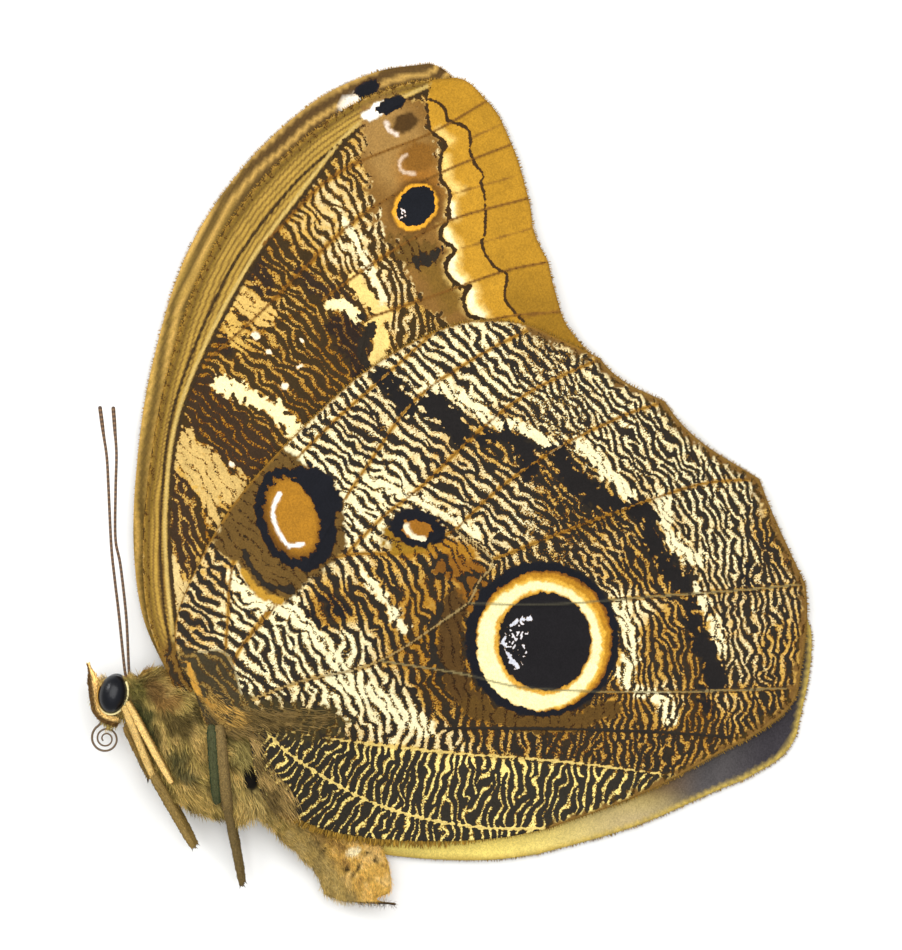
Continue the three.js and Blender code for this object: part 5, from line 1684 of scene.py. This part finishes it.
# %% Legs. Each part has its ends, half width, tint and how strong its cream ridge is
LEGS = {
    "foreleg": {"thigh": ([(-9.3, -4), (-7.2, -7)], 0.34, "#8A6E38", 0),
                "shin": ([(-9.4, -4.4), (-7.7, -8)], 0.32, "#8A6E38", 0),
                "foot": ([(-7.8, -7.8), (-6.6, -10.4)], 0.28, "#7A6232", 0)},
    "midleg": {"thigh": ([(-8.9, -1.4), (-3.8, -10.6)], 0.5, "#7E5E28", 1),
               "shin": ([(-9.3, -1.9), (-5.9, -10.2)], 0.56, "#86682E", 0.75),
               "foot": ([(-6.1, -9.6), (-1.2, -18.4)], 0.64, "#77602F", 0.1)},
    "hindleg": {"thigh": ([(1.1, -4.1), (1.7, -13)], 0.62, "#2E3C24", 0.05),
                "shin": ([(2, -4.1), (3, -14.4)], 0.74, "#66532E", 0.12),
                "foot": ([(2.9, -13.9), (4.6, -22.9)], 0.52, "#66542F", 0)},
}
TUCKED = {"foreleg": 0.95}
CLEARANCE = 0.75
FLANK_LEAST = 0.2
LEG_TALL = {"foreleg": 0.28, "midleg": 0.42, "hindleg": 0.42}
TAPER = {"thigh": 0.08, "shin": 0.08, "foot": 0.3}
SPINES, SPINE_LENGTH, SPINE_OUT, SPINE_HALF = 11, 0.3, 0.14, 0.05
CLAW_LENGTH, CLAW_OUT, CLAW_DROP, CLAW_HALF = 0.5, 0.24, 0.1, 0.1


def leg_level(kind, side, x, y):
    """Height of a leg: just off the thorax, or close to the middle where it is tucked in."""
    centre, (long, short, thick), turn = BALLS[0][:3]
    c, s = math.cos(math.radians(turn)), math.sin(math.radians(turn))
    dx, dy = x - centre[0], y - centre[1]
    off = math.hypot((dx * c + dy * s) / long, (dy * c - dx * s) / short)
    flank = thick * math.sqrt(max(FLANK_LEAST, 1 - off**2))
    return BODY_HEIGHT + side * TUCKED.get(kind, flank + CLEARANCE)


def spike(root, tip, half):
    return limb([root, tip], lambda t: half * (1 - 0.85 * t), 0.12, 5)


def leg_part(kind, side, part):
    """A flattened tube with blunt ends, its colours and the lie of its scales."""
    (start, end), half, tint, ridge = LEGS[kind][part]
    path = [(x, y, leg_level(kind, side, x, y)) for x, y in np.linspace(start, end, 5)]
    blunt = lambda t: (1 - 0.25 * (2 * t - 1) ** 6) * (1 - TAPER[part] * t)
    made = limb(path, lambda t: half * blunt(t), 0.3, 16, lambda t: LEG_TALL[kind] * blunt(t))
    top = smooth(0.45, 0.85, side * np.sin(made[3]) - 0.15 * np.cos(made[3]))
    run = np.subtract(end, start)
    lie = np.tile([*run / np.hypot(*run), 0], (len(made[0]), 1))
    return made, blend(tint, "#E8C478", top * ridge), lie


def build_leg(kind, side, suffix):
    """Makes one leg and returns its scaled tubes, their colours and the lie of their scales."""
    parts, colours, lies = zip(*[leg_part(kind, side, part) for part in LEGS[kind]])
    (start, end), half = LEGS[kind]["foot"][:2]
    start, end = np.array(start), np.array(end)
    run = (end - start) / np.hypot(*(end - start))
    beside = np.array([-run[1], run[0]])
    spikes = []
    for i in range(SPINES):
        way = 1 if i % 2 else -1
        t = 0.12 + 0.82 * i / SPINES
        root = start + (end - start) * t + beside * way * half * (0.9 - 0.3 * t)
        level = leg_level(kind, side, *root)
        spikes.append(spike((*root, level),
                            (*root + run * SPINE_LENGTH + beside * way * SPINE_OUT, level), SPINE_HALF))
    level = leg_level(kind, side, *end)
    for way in (-1, 1):
        root = end + beside * way * 0.12
        tip = root + run * CLAW_LENGTH + beside * way * CLAW_OUT
        spikes.append(spike((*root, level), (*tip, level - CLAW_DROP), CLAW_HALF))
    horn = np.tile(linear("#3A2A18"), (sum(len(one[0]) for one in spikes), 1))
    leg = piece_from(f"{kind}_scaled_{suffix}", *joined([*parts, *spikes]))
    set_colour(leg.data, np.vstack([*colours, horn]))
    finish_piece(leg, LEG_SCALES, (f"{kind}_{suffix}",))
    return joined(parts), np.vstack(colours), np.vstack(lies)


tubes, colours, lies = zip(*[build_leg(kind, side, suffix)
                             for kind in LEGS for suffix, side in SIDES.items()])
leg_mesh = coat_base(*joined(tubes), np.vstack(colours))
grow_coat("leg_coat", leg_mesh, 1, 0.3, 0.16, np.vstack(lies), 20, 0.15, 41, BROAD_STRAND)

for strand in (FINE_STRAND, BROAD_STRAND):
    bpy.data.objects.remove(strand)
